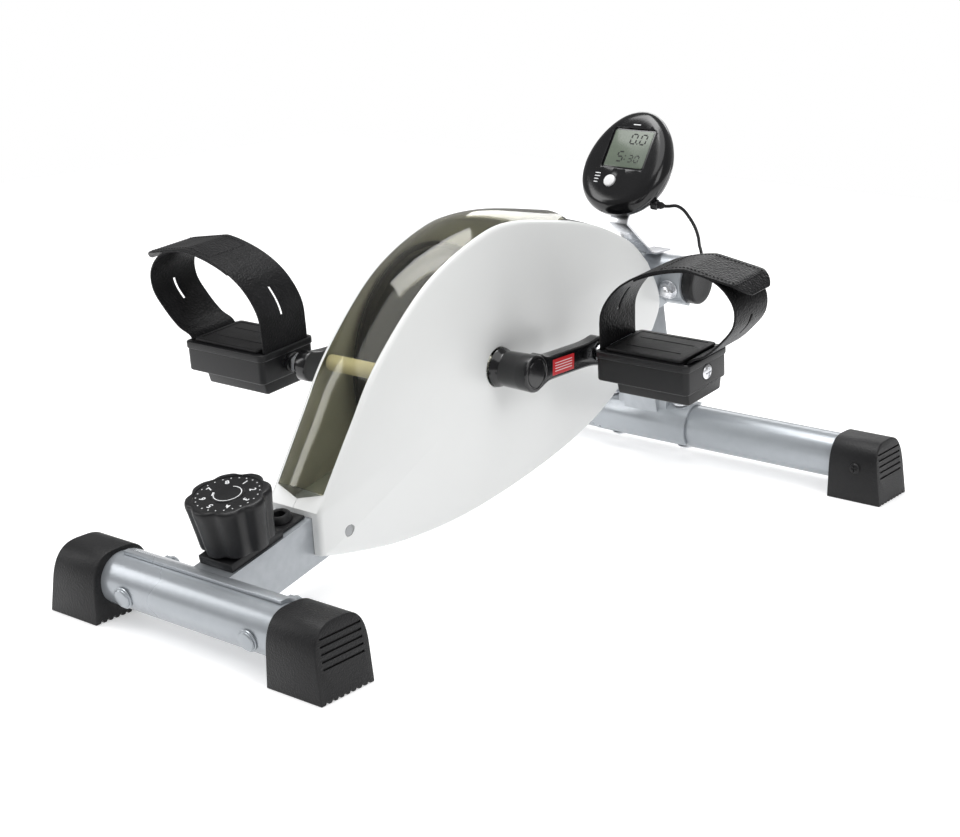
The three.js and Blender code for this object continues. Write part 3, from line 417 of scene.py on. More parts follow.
def carved(made, *cutters):
    for cutter in cutters:
        combined(made, cutter, "DIFFERENCE")
    return made


def joined(made, *others):
    for other in others:
        combined(made, other, "UNION")
    return made


def softened(made, width, segments=3, angle=35):
    modifier = made.modifiers.new("soft_edges", "BEVEL")
    modifier.width = width
    modifier.segments = segments
    modifier.limit_method = "ANGLE"
    modifier.angle_limit = math.radians(angle)
    return applied(made)


def placed(made, matrix):
    made.data.transform(matrix)
    return made


def ring_mesh(name, rings, wrap):
    """A tube of quads through rings. wrap joins the last ring to the first, else the ends are capped."""
    count = len(rings[0])
    points = [p for ring in rings for p in ring]
    faces = []
    for k in range(len(rings) if wrap else len(rings) - 1):
        low, high = k * count, (k + 1) % len(rings) * count
        for i in range(count):
            j = (i + 1) % count
            faces.append((low + i, low + j, high + j, high + i))
    if not wrap:
        faces.append(tuple(reversed(range(count))))
        faces.append(tuple(range(len(points) - count, len(points))))
    return cleaned(new_object(name, points, faces))


def on_circle(radius, angle, height=0.0):
    return Vector((radius * math.cos(angle), radius * math.sin(angle), height))


def turned(name, profile, matrix, segments=64, wrap=False):
    """A lathe shape about local Z. profile is (radius, height) in order; wrap makes it a ring with a hole."""
    rings = []
    for radius, height in profile:
        ring = []
        for i in range(segments):
            angle = 2 * math.pi * i / segments
            ring.append(on_circle(max(radius, 1e-7), angle, height))
        rings.append(ring)
    return placed(ring_mesh(name, rings, wrap), matrix)


def prism(name, outline, low, high, matrix=Matrix()):
    """An outline drawn in (y, z), from x = low to x = high."""
    rings = [[Vector((x, y, z)) for y, z in outline] for x in (low, high)]
    return placed(ring_mesh(name, rings, False), matrix)


def block(name, low, high, matrix=Matrix()):
    (x0, y0, z0), (x1, y1, z1) = low, high
    return prism(name, [(y0, z0), (y1, z0), (y1, z1), (y0, z1)], x0, x1, matrix)


def arc(radius, start, end, steps, centre=(0, 0)):
    angles = [math.radians(start + (end - start) * i / steps) for i in range(steps + 1)]
    return [(centre[0] + radius * math.cos(a), centre[1] + radius * math.sin(a)) for a in angles]


def rounded_edge(radius, height, fillet, steps=5, up=True):
    """Lathe points round the outer edge of a disc, from its side to its face."""
    angles = [math.radians(90 * i / steps) for i in range(steps + 1)]
    way = 1 if up else -1
    points = [(radius - fillet + fillet * math.cos(a), height + (fillet * math.sin(a) - fillet) * way)
              for a in angles]
    return points if up else points[::-1]


def disc_profile(radius, low, high, fillet):
    bottom = rounded_edge(radius, low, fillet, up=False)
    return [(0, low), *bottom, *rounded_edge(radius, high, fillet), (0, high)]


def along_x(place=(0, 0, 0), sign=1):
    return Matrix.Translation(place) @ turn_about("Y", sign * math.pi / 2)


def finished(made, body, finish, replaced=(), smooth=32):
    """Gives a piece its material and its body, and hides the CAD nodes that it stands for."""
    made.data.shade_smooth()
    made.data.set_sharp_from_angle(angle=math.radians(smooth))
    made.data.materials.clear()
    made.data.materials.append(MATERIALS[finish])
    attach(made, body)
    finish if finish in SLOTS else PRINT_SLOTS[finish]
    nodes = [replaced] if isinstance(replaced, str) else list(replaced)
    if nodes:
        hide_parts(*nodes)
    return made


SLOTS = {m["slot"] for m in frame["record"]["materials"]}
PRINT_SLOTS = {"print_white": "button_white", "print_dark": "lens_grey", "sticker_red": "gloss_black"}


def body_of_node(node):
    return frame["nodes"][node]["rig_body"]


def refined(node, edge=0.4 * MM, smooth=34):
    """A copy of a CAD node with its facets merged and its sharp edges softened."""
    source = frame["nodes"][node]
    copy = bpy.data.objects.new(node + "_finished", source.data.copy())
    put_in_scene(copy)
    shape = bmesh.new()
    shape.from_mesh(copy.data)
    bmesh.ops.remove_doubles(shape, verts=shape.verts, dist=2e-6)
    bmesh.ops.dissolve_limit(shape, angle_limit=math.radians(1.2), verts=shape.verts, edges=shape.edges)
    shape.to_mesh(copy.data)
    shape.free()
    softened(copy, edge, segments=2)
    return finished(copy, body_of_node(node), FINISH[node], node, smooth)


def centripetal_path(points, count):
    """count + 1 evenly spaced points on a centripetal Catmull-Rom curve through the given ones."""
    ends = [points[0] * 2 - points[1], *points, points[-1] * 2 - points[-2]]
    dense = []
    for k in range(1, len(ends) - 2):
        p = ends[k - 1:k + 3]
        t = [0.0]
        for a, b in zip(p, p[1:]):
            t.append(t[-1] + max((b - a).length ** 0.5, 1e-6))
        for i in range(24):
            u = t[1] + (t[2] - t[1]) * i / 24
            a = [p[n] * ((t[n + 1] - u) / (t[n + 1] - t[n])) + p[n + 1] * ((u - t[n]) / (t[n + 1] - t[n]))
                 for n in range(3)]
            b = [a[n] * ((t[n + 2] - u) / (t[n + 2] - t[n])) + a[n + 1] * ((u - t[n]) / (t[n + 2] - t[n]))
                 for n in range(2)]
            dense.append(b[0] * ((t[2] - u) / (t[2] - t[1])) + b[1] * ((u - t[1]) / (t[2] - t[1])))
    dense.append(points[-1])
    return evenly_spaced(dense, count)


def evenly_spaced(dense, count):
    run = [0.0]
    for a, b in zip(dense, dense[1:]):
        run.append(run[-1] + (b - a).length)
    result, k = [], 0
    for i in range(count + 1):
        want = run[-1] * i / count
        while k < len(run) - 2 and run[k + 1] < want:
            k += 1
        share = (want - run[k]) / max(run[k + 1] - run[k], 1e-12)
        result.append(dense[k].lerp(dense[k + 1], min(max(share, 0), 1)))
    return result


# ---- geometry node trees ------------------------------------------------------------------------
def geometry_tree(name, inputs):
    tree, given, result = new_group(
        name, [("Geometry", "Geometry", None), *inputs, ("Material", "Material", None)],
        [("Geometry", "Geometry")], "GeometryNodeTree")
    return tree, given, result


def finish_tree(tree, given, result, instances):
    realized = add_node(tree, "GeometryNodeRealizeInstances")
    painted = add_node(tree, "GeometryNodeSetMaterial")
    tree.links.new(instances, realized.inputs["Geometry"])
    wire(realized, "Geometry", painted, "Geometry")
    wire(given, "Material", painted, "Material")
    wire(painted, "Geometry", result, "Geometry")
    return tree


def stitch_tree():
    """Rounded stitches laid end to end along a path of edges."""
    tree, given, result = geometry_tree(
        "stitch_run", [("Pitch", "Float", 0.003), ("Stitch Size", "Vector", None)])
    path = add_node(tree, "GeometryNodeMeshToCurve")
    spaced = add_node(tree, "GeometryNodeResampleCurve", mode="LENGTH")
    stitch = add_node(tree, "GeometryNodeMeshUVSphere", {"Segments": 8, "Rings": 5, "Radius": 0.5})
    heading = add_node(tree, "GeometryNodeInputTangent")
    turn = add_node(tree, "FunctionNodeAlignRotationToVector", axis="Z")
    spread = add_node(tree, "GeometryNodeInstanceOnPoints")
    wire(given, "Geometry", path, "Mesh")
    wire(path, "Curve", spaced, "Curve")
    wire(given, "Pitch", spaced, "Length")
    wire(spaced, "Curve", spread, "Points")
    wire(stitch, "Mesh", spread, "Instance")
    wire(heading, "Tangent", turn, "Vector")
    wire(turn, "Rotation", spread, "Rotation")
    wire(given, "Stitch Size", spread, "Scale")
    return finish_tree(tree, given, result, spread.outputs["Instances"])


def rib_tree():
    """A row of equal straight ribs, one at each point that it is given."""
    tree, given, result = geometry_tree("rib_row", [("Rib Size", "Vector", None), ("Turn", "Rotation", None)])
    points = add_node(tree, "GeometryNodeMeshToPoints")
    rib = add_node(tree, "GeometryNodeMeshCube")
    spread = add_node(tree, "GeometryNodeInstanceOnPoints")
    wire(given, "Geometry", points, "Mesh")
    wire(given, "Rib Size", rib, "Size")
    wire(points, "Points", spread, "Points")
    wire(rib, "Mesh", spread, "Instance")
    wire(given, "Turn", spread, "Rotation")
    return finish_tree(tree, given, result, spread.outputs["Instances"])


STITCHES = stitch_tree()
RIBS = rib_tree()


def grown(name, tree, points, edges, values, finish):
    """Runs a geometry tree on the points and edges, and keeps the result as a plain mesh."""
    mesh = bpy.data.meshes.new(name)
    mesh.from_pydata([tuple(p) for p in points], edges, [])
    made = bpy.data.objects.new(name, mesh)
    put_in_scene(made)
    modifier = made.modifiers.new(name, "NODES")
    modifier.node_group = tree
    values = {**values, "Material": MATERIALS[finish]}
    for item in tree.interface.items_tree:
        if item.in_out == "INPUT" and item.name in values:
            modifier[item.identifier] = values[item.name]
    return applied(made)


# ---- foot bars, caps and bolts ------------------------------------------------------------------
BAR_WALL = 2 * MM


def bar_tube(node):
    low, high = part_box(node)
    centre = (low + high) / 2
    radius, half = (high.z - low.z) / 2, (high.x - low.x) / 2
    bore = radius - BAR_WALL
    chamfer = 0.4 * MM
    profile = [(bore, -half), (radius - chamfer, -half), (radius, chamfer - half),
               (radius, half - chamfer), (radius - chamfer, half), (bore, half)]
    tube = turned(node + "_tube", profile, along_x(centre), 96, wrap=True)
    return finished(tube, BODY, FINISH[node], node)


def cap_outline():
    """The foot cap's arched outline in (y, z) about the middle of its sole."""
    half, shoulder, top = 25.3 * MM, 24 * MM, 51 * MM
    arch = []
    for i in range(41):
        angle = math.pi * i / 40
        c, s = math.cos(angle), math.sin(angle)
        arch.append((half * math.copysign(abs(c) ** 0.62, c), shoulder + (top - shoulder) * max(s, 0) ** 0.8))
    return [(-half, 0), (half, 0), *arch]


def foot_cap(node):
    """A rubber shoe: arched block leaning in at its end, ribbed end face, notched sole."""
    low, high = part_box(node)
    sign = 1 if low.x > 0 else -1
    length = high.x - low.x
    lean, top, end_drop = 8 * MM, high.z, 0.9 * MM
    outline = cap_outline()
    inner = min(abs(low.x), abs(high.x))
    stations = (0, length - end_drop)
    rings = [[Vector((x - (lean * z / top if x else 0), y, z)) for y, z in outline] for x in stations]
    shoe = ring_mesh(node + "_shoe", rings, False)
    softened(shoe, 0.9 * MM, 3, 50)
    notch, pitch = 2.3 * MM, 5.6 * MM
    notches = [[(y - notch, -0.5 * MM), (y + notch, -0.5 * MM), (y, 3 * MM)]
               for y in (pitch * (step - 3.5) for step in range(8))]
    bore = disc_profile(19.2 * MM, -2 * MM, length - 9 * MM, 0.3 * MM)
    slope = math.atan2(lean, top)
    groove_points = []
    for step in range(5):
        z = (22.5 + 4.9 * step) * MM
        groove_points.append((length - end_drop - lean * z / top + 0.4 * MM, 0, z))
    grooves = grown(node + "_grooves", RIBS, groove_points, [],
                    {"Rib Size": mm(3.4, 39, 1.5), "Turn": (0, -slope, 0)}, "cap_black")
    carved(shoe, turned("bore", bore, along_x((0, 0, 29 * MM)), 64), grooves,
           *[prism("notch", points, -MM, length + MM) for points in notches])
    placed(shoe, Matrix.Translation((sign * inner, (low.y + high.y) / 2, 0)))
    if sign < 0:
        centre = Matrix.Translation((-inner, (low.y + high.y) / 2, 0))
        placed(shoe, centre @ turn_about("Z", math.pi) @ centre.inverted())
    finished(shoe, BODY, "cap_black", node, 40)


def cross_recess(radius, depth, top, matrix):
    arm = 0.16 * radius
    reach = 0.62 * radius
    return [block("recess", (-reach, -arm, top - depth), (reach, arm, top + MM), matrix),
            block("recess", (-arm, -reach, top - depth), (arm, reach, top + MM), matrix)]


def cross_screw(name, radius, height, matrix, body, finish, replaced):
    """A domed pan-head screw with a cross recess, its head along local +Z."""
    dome = [(0, -3 * MM), (0.4 * radius, -3 * MM), (0.4 * radius, 0), (radius, 0)]
    for i in range(1, 7):
        angle = math.radians(15 * i)
        dome.append((radius * math.cos(angle), height * math.sin(angle)))
    dome[-1] = (0, height)
    head = turned(name, dome, matrix, 48)
    carved(head, *cross_recess(radius, 0.6 * height, height, matrix))
    return finished(head, body, finish, replaced)


def cap_screws():
    for side, _ in SIDES:
        node = f"rear_{side}_cap_screw"
        low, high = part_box(node)
        place = Vector(((low.x + high.x) / 2, low.y + 2.2 * MM, (low.z + high.z) / 2))
        facing = Matrix.Translation(place) @ turn_about("X", math.pi / 2)
        cross_screw(node + "_head", 4.4 * MM, 2.2 * MM, facing, BODY, "plastic_black", node)


def bar_bolt(node, turn):
    """A domed bolt with its washer and cap nut, along its own axis, head at local -Y."""
    matrix = bolt_place(node, turn)
    seat, face = 19.3 * MM, 22.2 * MM
    head = [(0, -seat - 2.9 * MM), (4.4 * MM, -seat - 2.8 * MM), (6.2 * MM, -seat - 2.4 * MM),
            (7 * MM, -seat - 1.6 * MM), (7.1 * MM, -seat - 0.9 * MM), (8 * MM, -seat - 0.8 * MM),
            (8.2 * MM, -seat - 0.6 * MM), (8.2 * MM, -seat + 0.2 * MM),
            (3.6 * MM, -seat + 0.2 * MM), (3.6 * MM, face), (8.3 * MM, face), (8.6 * MM, face + 0.3 * MM),
            (8.6 * MM, face + 1.1 * MM), (8.3 * MM, face + 1.4 * MM), (0, face + 1.4 * MM)]
    along_y = matrix @ turn_about("X", -math.pi / 2)
    bolt = turned(node + "_head", head, along_y, 48)
    nut = [(0, face + 1.3 * MM), *arc_rise(7.2 * MM, face + 1.3 * MM, face + 6.6 * MM)]
    hexagon = turned(node + "_nut", nut, along_y, 6)
    crown = [(radius * MM, face + height * MM) for radius, height in (
        (0, 5), (5.2, 5), (5.2, 7.4), (4.6, 9), (3.2, 10.1), (1.4, 10.5), (0, 10.5))]
    joined(bolt, hexagon, turned(node + "_crown", crown, along_y, 32))
    return finished(bolt, BODY, "silver_paint" if node.startswith("front") else "bright_steel", node)


def arc_rise(radius, low, high):
    return [(radius - 0.4 * MM, low), (radius, low + 0.4 * MM), (radius, high - 0.8 * MM),
            (radius - 1.1 * MM, high), (0, high)]


def bolt_place(node, turn):
    low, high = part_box(node)
    if node.startswith("front"):
        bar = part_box("front_foot_bar")
    elif node.startswith("rear"):
        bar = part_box("rear_foot_bar")
    else:
        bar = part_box("carry_handle")
    centre = (bar[0] + bar[1]) / 2
    return Matrix.Translation(((low.x + high.x) / 2, centre.y, centre.z)) @ turn_about("X", turn)


def upright_turn():
    """How far the rear upright, and the bolts in its saddle, lean from the vertical."""
    top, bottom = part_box("carry_handle"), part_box("rear_foot_bar")
    spine_z = (top[0].z + top[1].z) / 2 - 33 * MM * math.tan(SPINE_ANGLE)
    return math.pi / 2 + math.atan2(
        (bottom[0].y + bottom[1].y) / 2 - (top[0].y + top[1].y) / 2 + 33 * MM,
        spine_z - (bottom[0].z + bottom[1].z) / 2)


def handle_cap(side, sign):
    node = f"handle_{side}_cap"
    low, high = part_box(node)
    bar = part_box("carry_handle")
    place = Vector((sign * 37 * MM, (bar[0].y + bar[1].y) / 2, (bar[0].z + bar[1].z) / 2))
    reach = max(abs(low.x), abs(high.x)) - 37 * MM
    cap = [mm(0, -6), mm(16.4, -6), mm(16.7, -5.5), mm(16.7, 0), mm(19.1, 0), mm(19.4, 0.3),
           *rounded_edge(19.4 * MM, reach, 2.6 * MM), (13 * MM, reach - 0.3 * MM), (0, reach - 0.3 * MM)]
    made = turned(node + "_moulding", cap, along_x(place, sign), 64)
    return finished(made, BODY, "plastic_black", node)


# ---- housing ------------------------------------------------------------------------------------
# The side outline in millimetres, (y, z) about the crank axis, in order round the body.
WINDOW_LINE = [(-173.5, -59.6), (-146, -17), (-117, 25), (-64.5, 72.4), (-5.5, 98.2), (41.5, 103), (119, 92)]
CREST_LINE = [(119, 92), (162, 81), (210, 61.5), (238, 40)]
NOSE_LINE = [(238, 40), (256, 14), (259, -4), (249, -22)]
UNDER_LINE = [(249, -22), (189, -68), (114, -95), (-6, -113.4), (-90, -116), (-150, -109), (-179, -103)]
FRONT_LINE = [(-179, -103), (-181.5, -71)]
CHIN_LINE = [(-181.5, -71), (-173.5, -59.6)]
STRETCHES = (
    (WINDOW_LINE, 54), (CREST_LINE, 18), (NOSE_LINE, 14), (UNDER_LINE, 40), (FRONT_LINE, 4), (CHIN_LINE, 2))
WINDOW_END = STRETCHES[0][1]
CREST_END = WINDOW_END + STRETCHES[1][1]
RIM_ROUND = 4.2 * MM
SHELL_SIDE, SHELL_WALL = 43.6 * MM, 2.5 * MM
HUB_HOLE = 15.5 * MM
WINDOW_INSET, WINDOW_CROWN, STRIP_WALL = mm(4.3, 6, 2.4)


def spline_point(points, share):
    """A point on a uniform Catmull-Rom spline, share from 0 to 1."""
    spot = (len(points) - 1) * share
    k = min(int(spot), len(points) - 2)
    t = spot - k
    a, b, c, d = (Vector(points[min(max(n, 0), len(points) - 1)]) for n in (k - 1, k, k + 1, k + 2))
    into, out = (c - a) / 2, (d - b) / 2
    return ((b - c) * 2 + into + out) * t ** 3 + ((c - b) * 3 - into * 2 - out) * t ** 2 + into * t + b


OUTLINE = [spline_point(line, i / steps) * MM for line, steps in STRETCHES for i in range(steps)]


def inward_directions():
    result = []
    for i in range(len(OUTLINE)):
        along = (OUTLINE[(i + 1) % len(OUTLINE)] - OUTLINE[i - 1]).normalized()
        result.append(Vector((along.y, -along.x)))
    return result


INWARD = inward_directions()


def rim_x(y):
    return (25 + 6 * math.exp(-(y / (130 * MM)) ** 2)) * MM


def open_edge(i):
    return rim_x(OUTLINE[i].x) - WINDOW_INSET if i <= CREST_END else 0.15 * MM


def edge_point(i, inset, x):
    spot = OUTLINE[i] + INWARD[i] * inset
    return Vector((x, spot.x, spot.y))


def dome_point(i, share, drop):
    """From just inside the rim (share 0) to the round hub hole (share 1)."""
    start = edge_point(i, 0.69 * RIM_ROUND + drop, 0)
    hub = OUTLINE[i].normalized() * HUB_HOLE
    rim = rim_x(OUTLINE[i].x) - 0.049 * RIM_ROUND
    x = rim + (SHELL_SIDE - rim) * (1 - (1 - share) ** 2) - drop
    return Vector((x, start.y + (hub.x - start.y) * share, start.z + (hub.y - start.z) * share))


def shell_rings():
    count = range(len(OUTLINE))
    rim_angles = [math.radians(a) for a in (0, 14, 28, 42, 56)]
    shares = [(k / 20) ** 1.25 for k in range(21)]
    rings = [[edge_point(i, 0, open_edge(i)) for i in count]]
    for a in rim_angles:
        inset, drop = RIM_ROUND * (1 - math.cos(a)), RIM_ROUND * (1 - math.sin(a))
        rings.append([edge_point(i, inset, rim_x(OUTLINE[i].x) - drop) for i in count])
    rings += [[dome_point(i, share, 0) for i in count] for share in shares]
    rings += [[dome_point(i, share, SHELL_WALL) for i in count] for share in reversed(shares[::2])]
    rings.append([edge_point(i, SHELL_WALL, rim_x(OUTLINE[i].x) - RIM_ROUND) for i in count])
    rings.append([edge_point(i, SHELL_WALL, open_edge(i)) for i in count])
    return rings


def spine_cutter(gap):
    """A box along the spine, a little larger than the tube."""
    half_width, half_height = 17 * MM + gap, 18 * MM + gap
    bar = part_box("front_foot_bar")
    start = Vector((0, (bar[0].y + bar[1].y) / 2, (bar[0].z + bar[1].z) / 2))
    matrix = Matrix.Translation(start) @ turn_about("X", SPINE_ANGLE)
    return block("spine_space", (-half_width, 0, -half_height), (half_width, 0.6, half_height), matrix)


def upright_cutter(gap):
    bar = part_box("rear_foot_bar")
    place = Vector((0, (bar[0].y + bar[1].y) / 2, (bar[0].z + bar[1].z) / 2))
    matrix = Matrix.Translation(place) @ turn_about("X", upright_turn() - math.pi / 2)
    half = 15 * MM + gap
    return block("upright_space", (-17 * MM - gap, -half, 0), (17 * MM + gap, half, 0.13), matrix)


SCREW_AT = Vector(mm(0, -155.6, -88.9))


def shell(side, sign):
    rings = [[Vector((sign * p.x, p.y, p.z)) + CRANK_AXIS for p in ring] for ring in shell_rings()]
    made = ring_mesh(f"{side}_shell_moulding", rings, True)
    place = CRANK_AXIS + SCREW_AT
    hole = turned("screw_hole", disc_profile(4.5 * MM, 12 * MM, 60 * MM, 0.1 * MM), along_x(place, sign), 40)
    carved(made, spine_cutter(0.3 * MM), upright_cutter(0.3 * MM), hole)
    finished(made, BODY, "shell_white", f"{side}_shell", 38)
    button = disc_profile(*mm(4.3, 22, 29.3, 0.8))
    plug = turned(f"{side}_plug_button", button, along_x(place, sign), 40)
    finished(plug, BODY, "plug_grey", f"{side}_screw_plug")


def crowned_strip(name, first, last, crown, thickness, finish, node):
    """A strip between the two rims, bulging outwards across its width."""
    across, gap = 16, 0.3 * MM
    loops = []
    for i in range(first, last + 1):
        half = open_edge(i) - gap
        loop = []
        for layer, order in ((0, range(across + 1)), (thickness, reversed(range(across + 1)))):
            for j in order:
                s = -1 + 2 * j / across
                loop.append(edge_point(i, layer - crown * (1 - s * s), half * s) + CRANK_AXIS)
        loops.append(loop)
    made = ring_mesh(name, loops, False)
    return finished(made, BODY, finish, node, 40)


def housing():
    for side, sign in SIDES:
        shell(side, sign)
    crowned_strip(
        "smoked_crest_window", 0, WINDOW_END, WINDOW_CROWN, STRIP_WALL, "smoked_clear", "smoked_window")
    trim = crowned_strip(
        "rear_crest_trim", WINDOW_END, CREST_END, 1.5 * MM, STRIP_WALL, "plastic_black", "rear_trim")
    carved(trim, spine_cutter(0.3 * MM))
    low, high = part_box("shell_spacer")
    spacer = turned("cream_spacer", disc_profile((high.z - low.z) / 2, low.x, high.x, 0.6 * MM),
                    along_x(Vector((0, (low.y + high.y) / 2, (low.z + high.z) / 2))), 48)
    finished(spacer, BODY, "cream_plastic", "shell_spacer")


# ---- drive seen through the window --------------------------------------------------------------
def drive_wheels():
    low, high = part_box("drive_pulley")
    rim, hub = 87 * MM, 15 * MM
    face = low.x
    profile = [(8.3 * MM, face), (hub, face), (hub + 1.5 * MM, face + MM), (rim - 12 * MM, face + MM),
               (rim - 10 * MM, face), (rim, face), (rim, face + 1.8 * MM), (rim - 5.3 * MM, face + 1.9 * MM),
               (rim - 5.3 * MM, face + 7.4 * MM), (hub, face + 7.4 * MM), (hub, high.x), (8.3 * MM, high.x)]
    place = Vector((0, CRANK_AXIS.y, CRANK_AXIS.z))
    pulley = turned("pulley_wheel", profile, along_x(place), 96, wrap=True)
    finished(pulley, "crankset", "plastic_black", "drive_pulley")
    low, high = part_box("flywheel")
    radius = (high.z - low.z) / 2
    wheel = [(5.3 * MM, low.x), (14 * MM, low.x), (15 * MM, low.x + MM), (radius - 9 * MM, low.x + MM),
             (radius - 8 * MM, low.x), *rounded_edge(radius, low.x, MM, up=False)[1:],
             *rounded_edge(radius, high.x, MM), (radius - 8 * MM, high.x), (radius - 9 * MM, high.x - MM),
             (15 * MM, high.x - MM), (14 * MM, high.x), (5.3 * MM, high.x)]
    at = JOINT_AT["flywheel_spin"]
    made = turned("flywheel_disc", wheel, along_x(Vector((0, at.y, at.z))), 96, wrap=True)
    finished(made, "flywheel_unit", "dark_steel", "flywheel")


# ---- cranks -------------------------------------------------------------------------------------
CRANK_INNER, CRANK_OUTER = 65.9 * MM, 78.9 * MM


def side_matrix(sign):
    """The crank's own space: arm along +Y, outwards along +X."""
    turn = turn_about("Z", math.pi) if sign < 0 else Matrix()
    return Matrix.Translation(CRANK_AXIS) @ turn


def arm_outline():
    boss, eye, waist, reach = 14 * MM, 12.4 * MM, 9.4 * MM, CRANK_LENGTH
    near = arc(boss, 62, 298, 40)
    far = arc(eye, -58, 58, 28, (reach, 0))
    start, end = boss * 0.47, reach + eye * 0.53
    edge = []
    for i in range(1, 24):
        y = start + (end - start) * i / 24
        swell = (boss - waist) * 0.9 * math.exp(-((y - start) / (8 * MM)) ** 2)
        swell += (eye - waist) * 0.85 * math.exp(-((y - end) / (12 * MM)) ** 2)
        edge.append((y, waist + swell))
    below = [(y, -w) for y, w in edge]
    return near + below + far + edge[::-1]


def crank(side, sign):
    matrix = side_matrix(sign)
    blade = prism(f"{side}_crank_casting", arm_outline(), CRANK_INNER, CRANK_OUTER - 1.2 * MM)
    softened(blade, 2.2 * MM, 4, 50)
    flare = [(0, 44.8 * MM), mm(14.8, 44.8), mm(15.2, 45.6), mm(14.6, 47.4),
             mm(12.4, 49.4), mm(12, 51.5), mm(13.6, 52.6),
             *rounded_edge(14.2 * MM, CRANK_OUTER, 1.8 * MM),
             (11.4 * MM, CRANK_OUTER), (11 * MM, CRANK_OUTER - 0.7 * MM), (10.2 * MM, CRANK_OUTER - 0.7 * MM),
             (9.8 * MM, CRANK_OUTER - 0.1 * MM), (4 * MM, CRANK_OUTER), (0, CRANK_OUTER)]
    boss = turned("boss", flare, along_x(), 72)
    eye = turned("eye", disc_profile(6.4 * MM, CRANK_OUTER - 6 * MM, CRANK_OUTER + 3 * MM, 0.2 * MM),
                 along_x((0, CRANK_LENGTH, 0)), 48)
    joined(blade, boss)
    carved(blade, eye)
    placed(blade, matrix)
    finished(blade, "crankset", "gloss_black", f"{side}_crank_arm", 40)
    if sign > 0:
        sticker(matrix)


def sticker(matrix):
    """A plain red label on the outer face of the arm, with four thin white lines along it."""
    face = CRANK_OUTER - 1.2 * MM
    low, high = Vector((face - 0.1 * MM, 22 * MM, -6.2 * MM)), Vector((face + 0.12 * MM, 50 * MM, 6.2 * MM))
    label = block("crank_label", low, high, matrix)
    softened(label, 0.1 * MM, 1)
    finished(label, "crankset", "sticker_red")
    rows = [(face + 0.15 * MM, 36 * MM, z * MM) for z in (-3.2, -1.1, 1.0, 3.1)]
    points = [matrix @ Vector(p) for p in rows]
    lines = grown("crank_label_rules", RIBS, points, [],
                  {"Rib Size": mm(0.08, 22, 0.5), "Turn": (0, 0, 0)}, "print_white")
    finished(lines, "crankset", "print_white")


def spindle(side, sign):
    node = f"{side}_pedal_spindle"
    matrix = side_matrix(sign) @ Matrix.Translation((0, CRANK_LENGTH, 0))
    low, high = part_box(node)
    tip = max(abs(low.x), abs(high.x))
    shaft = turned(node + "_turning", disc_profile(5 * MM, 69.9 * MM, tip, 0.4 * MM), matrix @ along_x(), 40)
    flats = turned("flats", [(0, 79.2 * MM), *arc_rise(8 * MM, 79.2 * MM, 85 * MM)], matrix @ along_x(), 6)
    joined(shaft, flats)
    finished(shaft, "crankset", "bright_steel", node)
    collar = turned(f"{side}_spindle_collar", [
        mm(5.1, 84.9), mm(6.2, 84.9), mm(6.8, 85.4), mm(6.8, 87.6), mm(7.6, 88.1),
        mm(7.6, 90.6), mm(7.1, 91.3), mm(5.1, 91.3)], matrix @ along_x(), 48, wrap=True)
    finished(collar, "crankset", "gloss_black")


# ---- pedals -------------------------------------------------------------------------------------
PEDAL_LENGTH, PEDAL_WIDTH, PEDAL_HEIGHT = 82.5 * MM, 59.3 * MM, 23.5 * MM
PEDAL_TOP = 0.3 * MM + PEDAL_HEIGHT / 2
PEDAL_TILT = math.radians(5.3)
STRAP_WIDTH, STRAP_THICKNESS = 48 * MM, 3.2 * MM
INNER_LEG, OUTER_LEG = 3.6 * MM - PEDAL_LENGTH / 2, PEDAL_LENGTH / 2 - 5 * MM
STRAP_END = PEDAL_TOP - 5.3 * MM
# The strap's middle line in millimetres, (x, z) about the spindle, x from the pedal's middle.
STRAP_LINE = [
    (-36, 41), (-25, 58), (-8, 70.5), (18, 80), (42, 83), (64, 77), (77, 62), (77, 47), (66, 32), (52, 19.5)]


def pedal_matrix(sign):
    place = Matrix.Translation((PEDAL_X, CRANK_LENGTH, 0))
    return side_matrix(sign) @ place @ turn_about("X", PEDAL_TILT * sign)


def rounded_rectangle(half_x, half_y, corner, steps=6):
    points = []
    for cx, cy, start in ((1, -1, -90), (1, 1, 0), (-1, 1, 90), (-1, -1, 180)):
        points += arc(corner, start, start + 90, steps, (cx * (half_x - corner), cy * (half_y - corner)))
    return points


def slab(name, outline, low, high, matrix=Matrix()):
    rings = [[Vector((x, y, z)) for x, y in outline] for z in (low, high)]
    return placed(ring_mesh(name, rings, False), matrix)


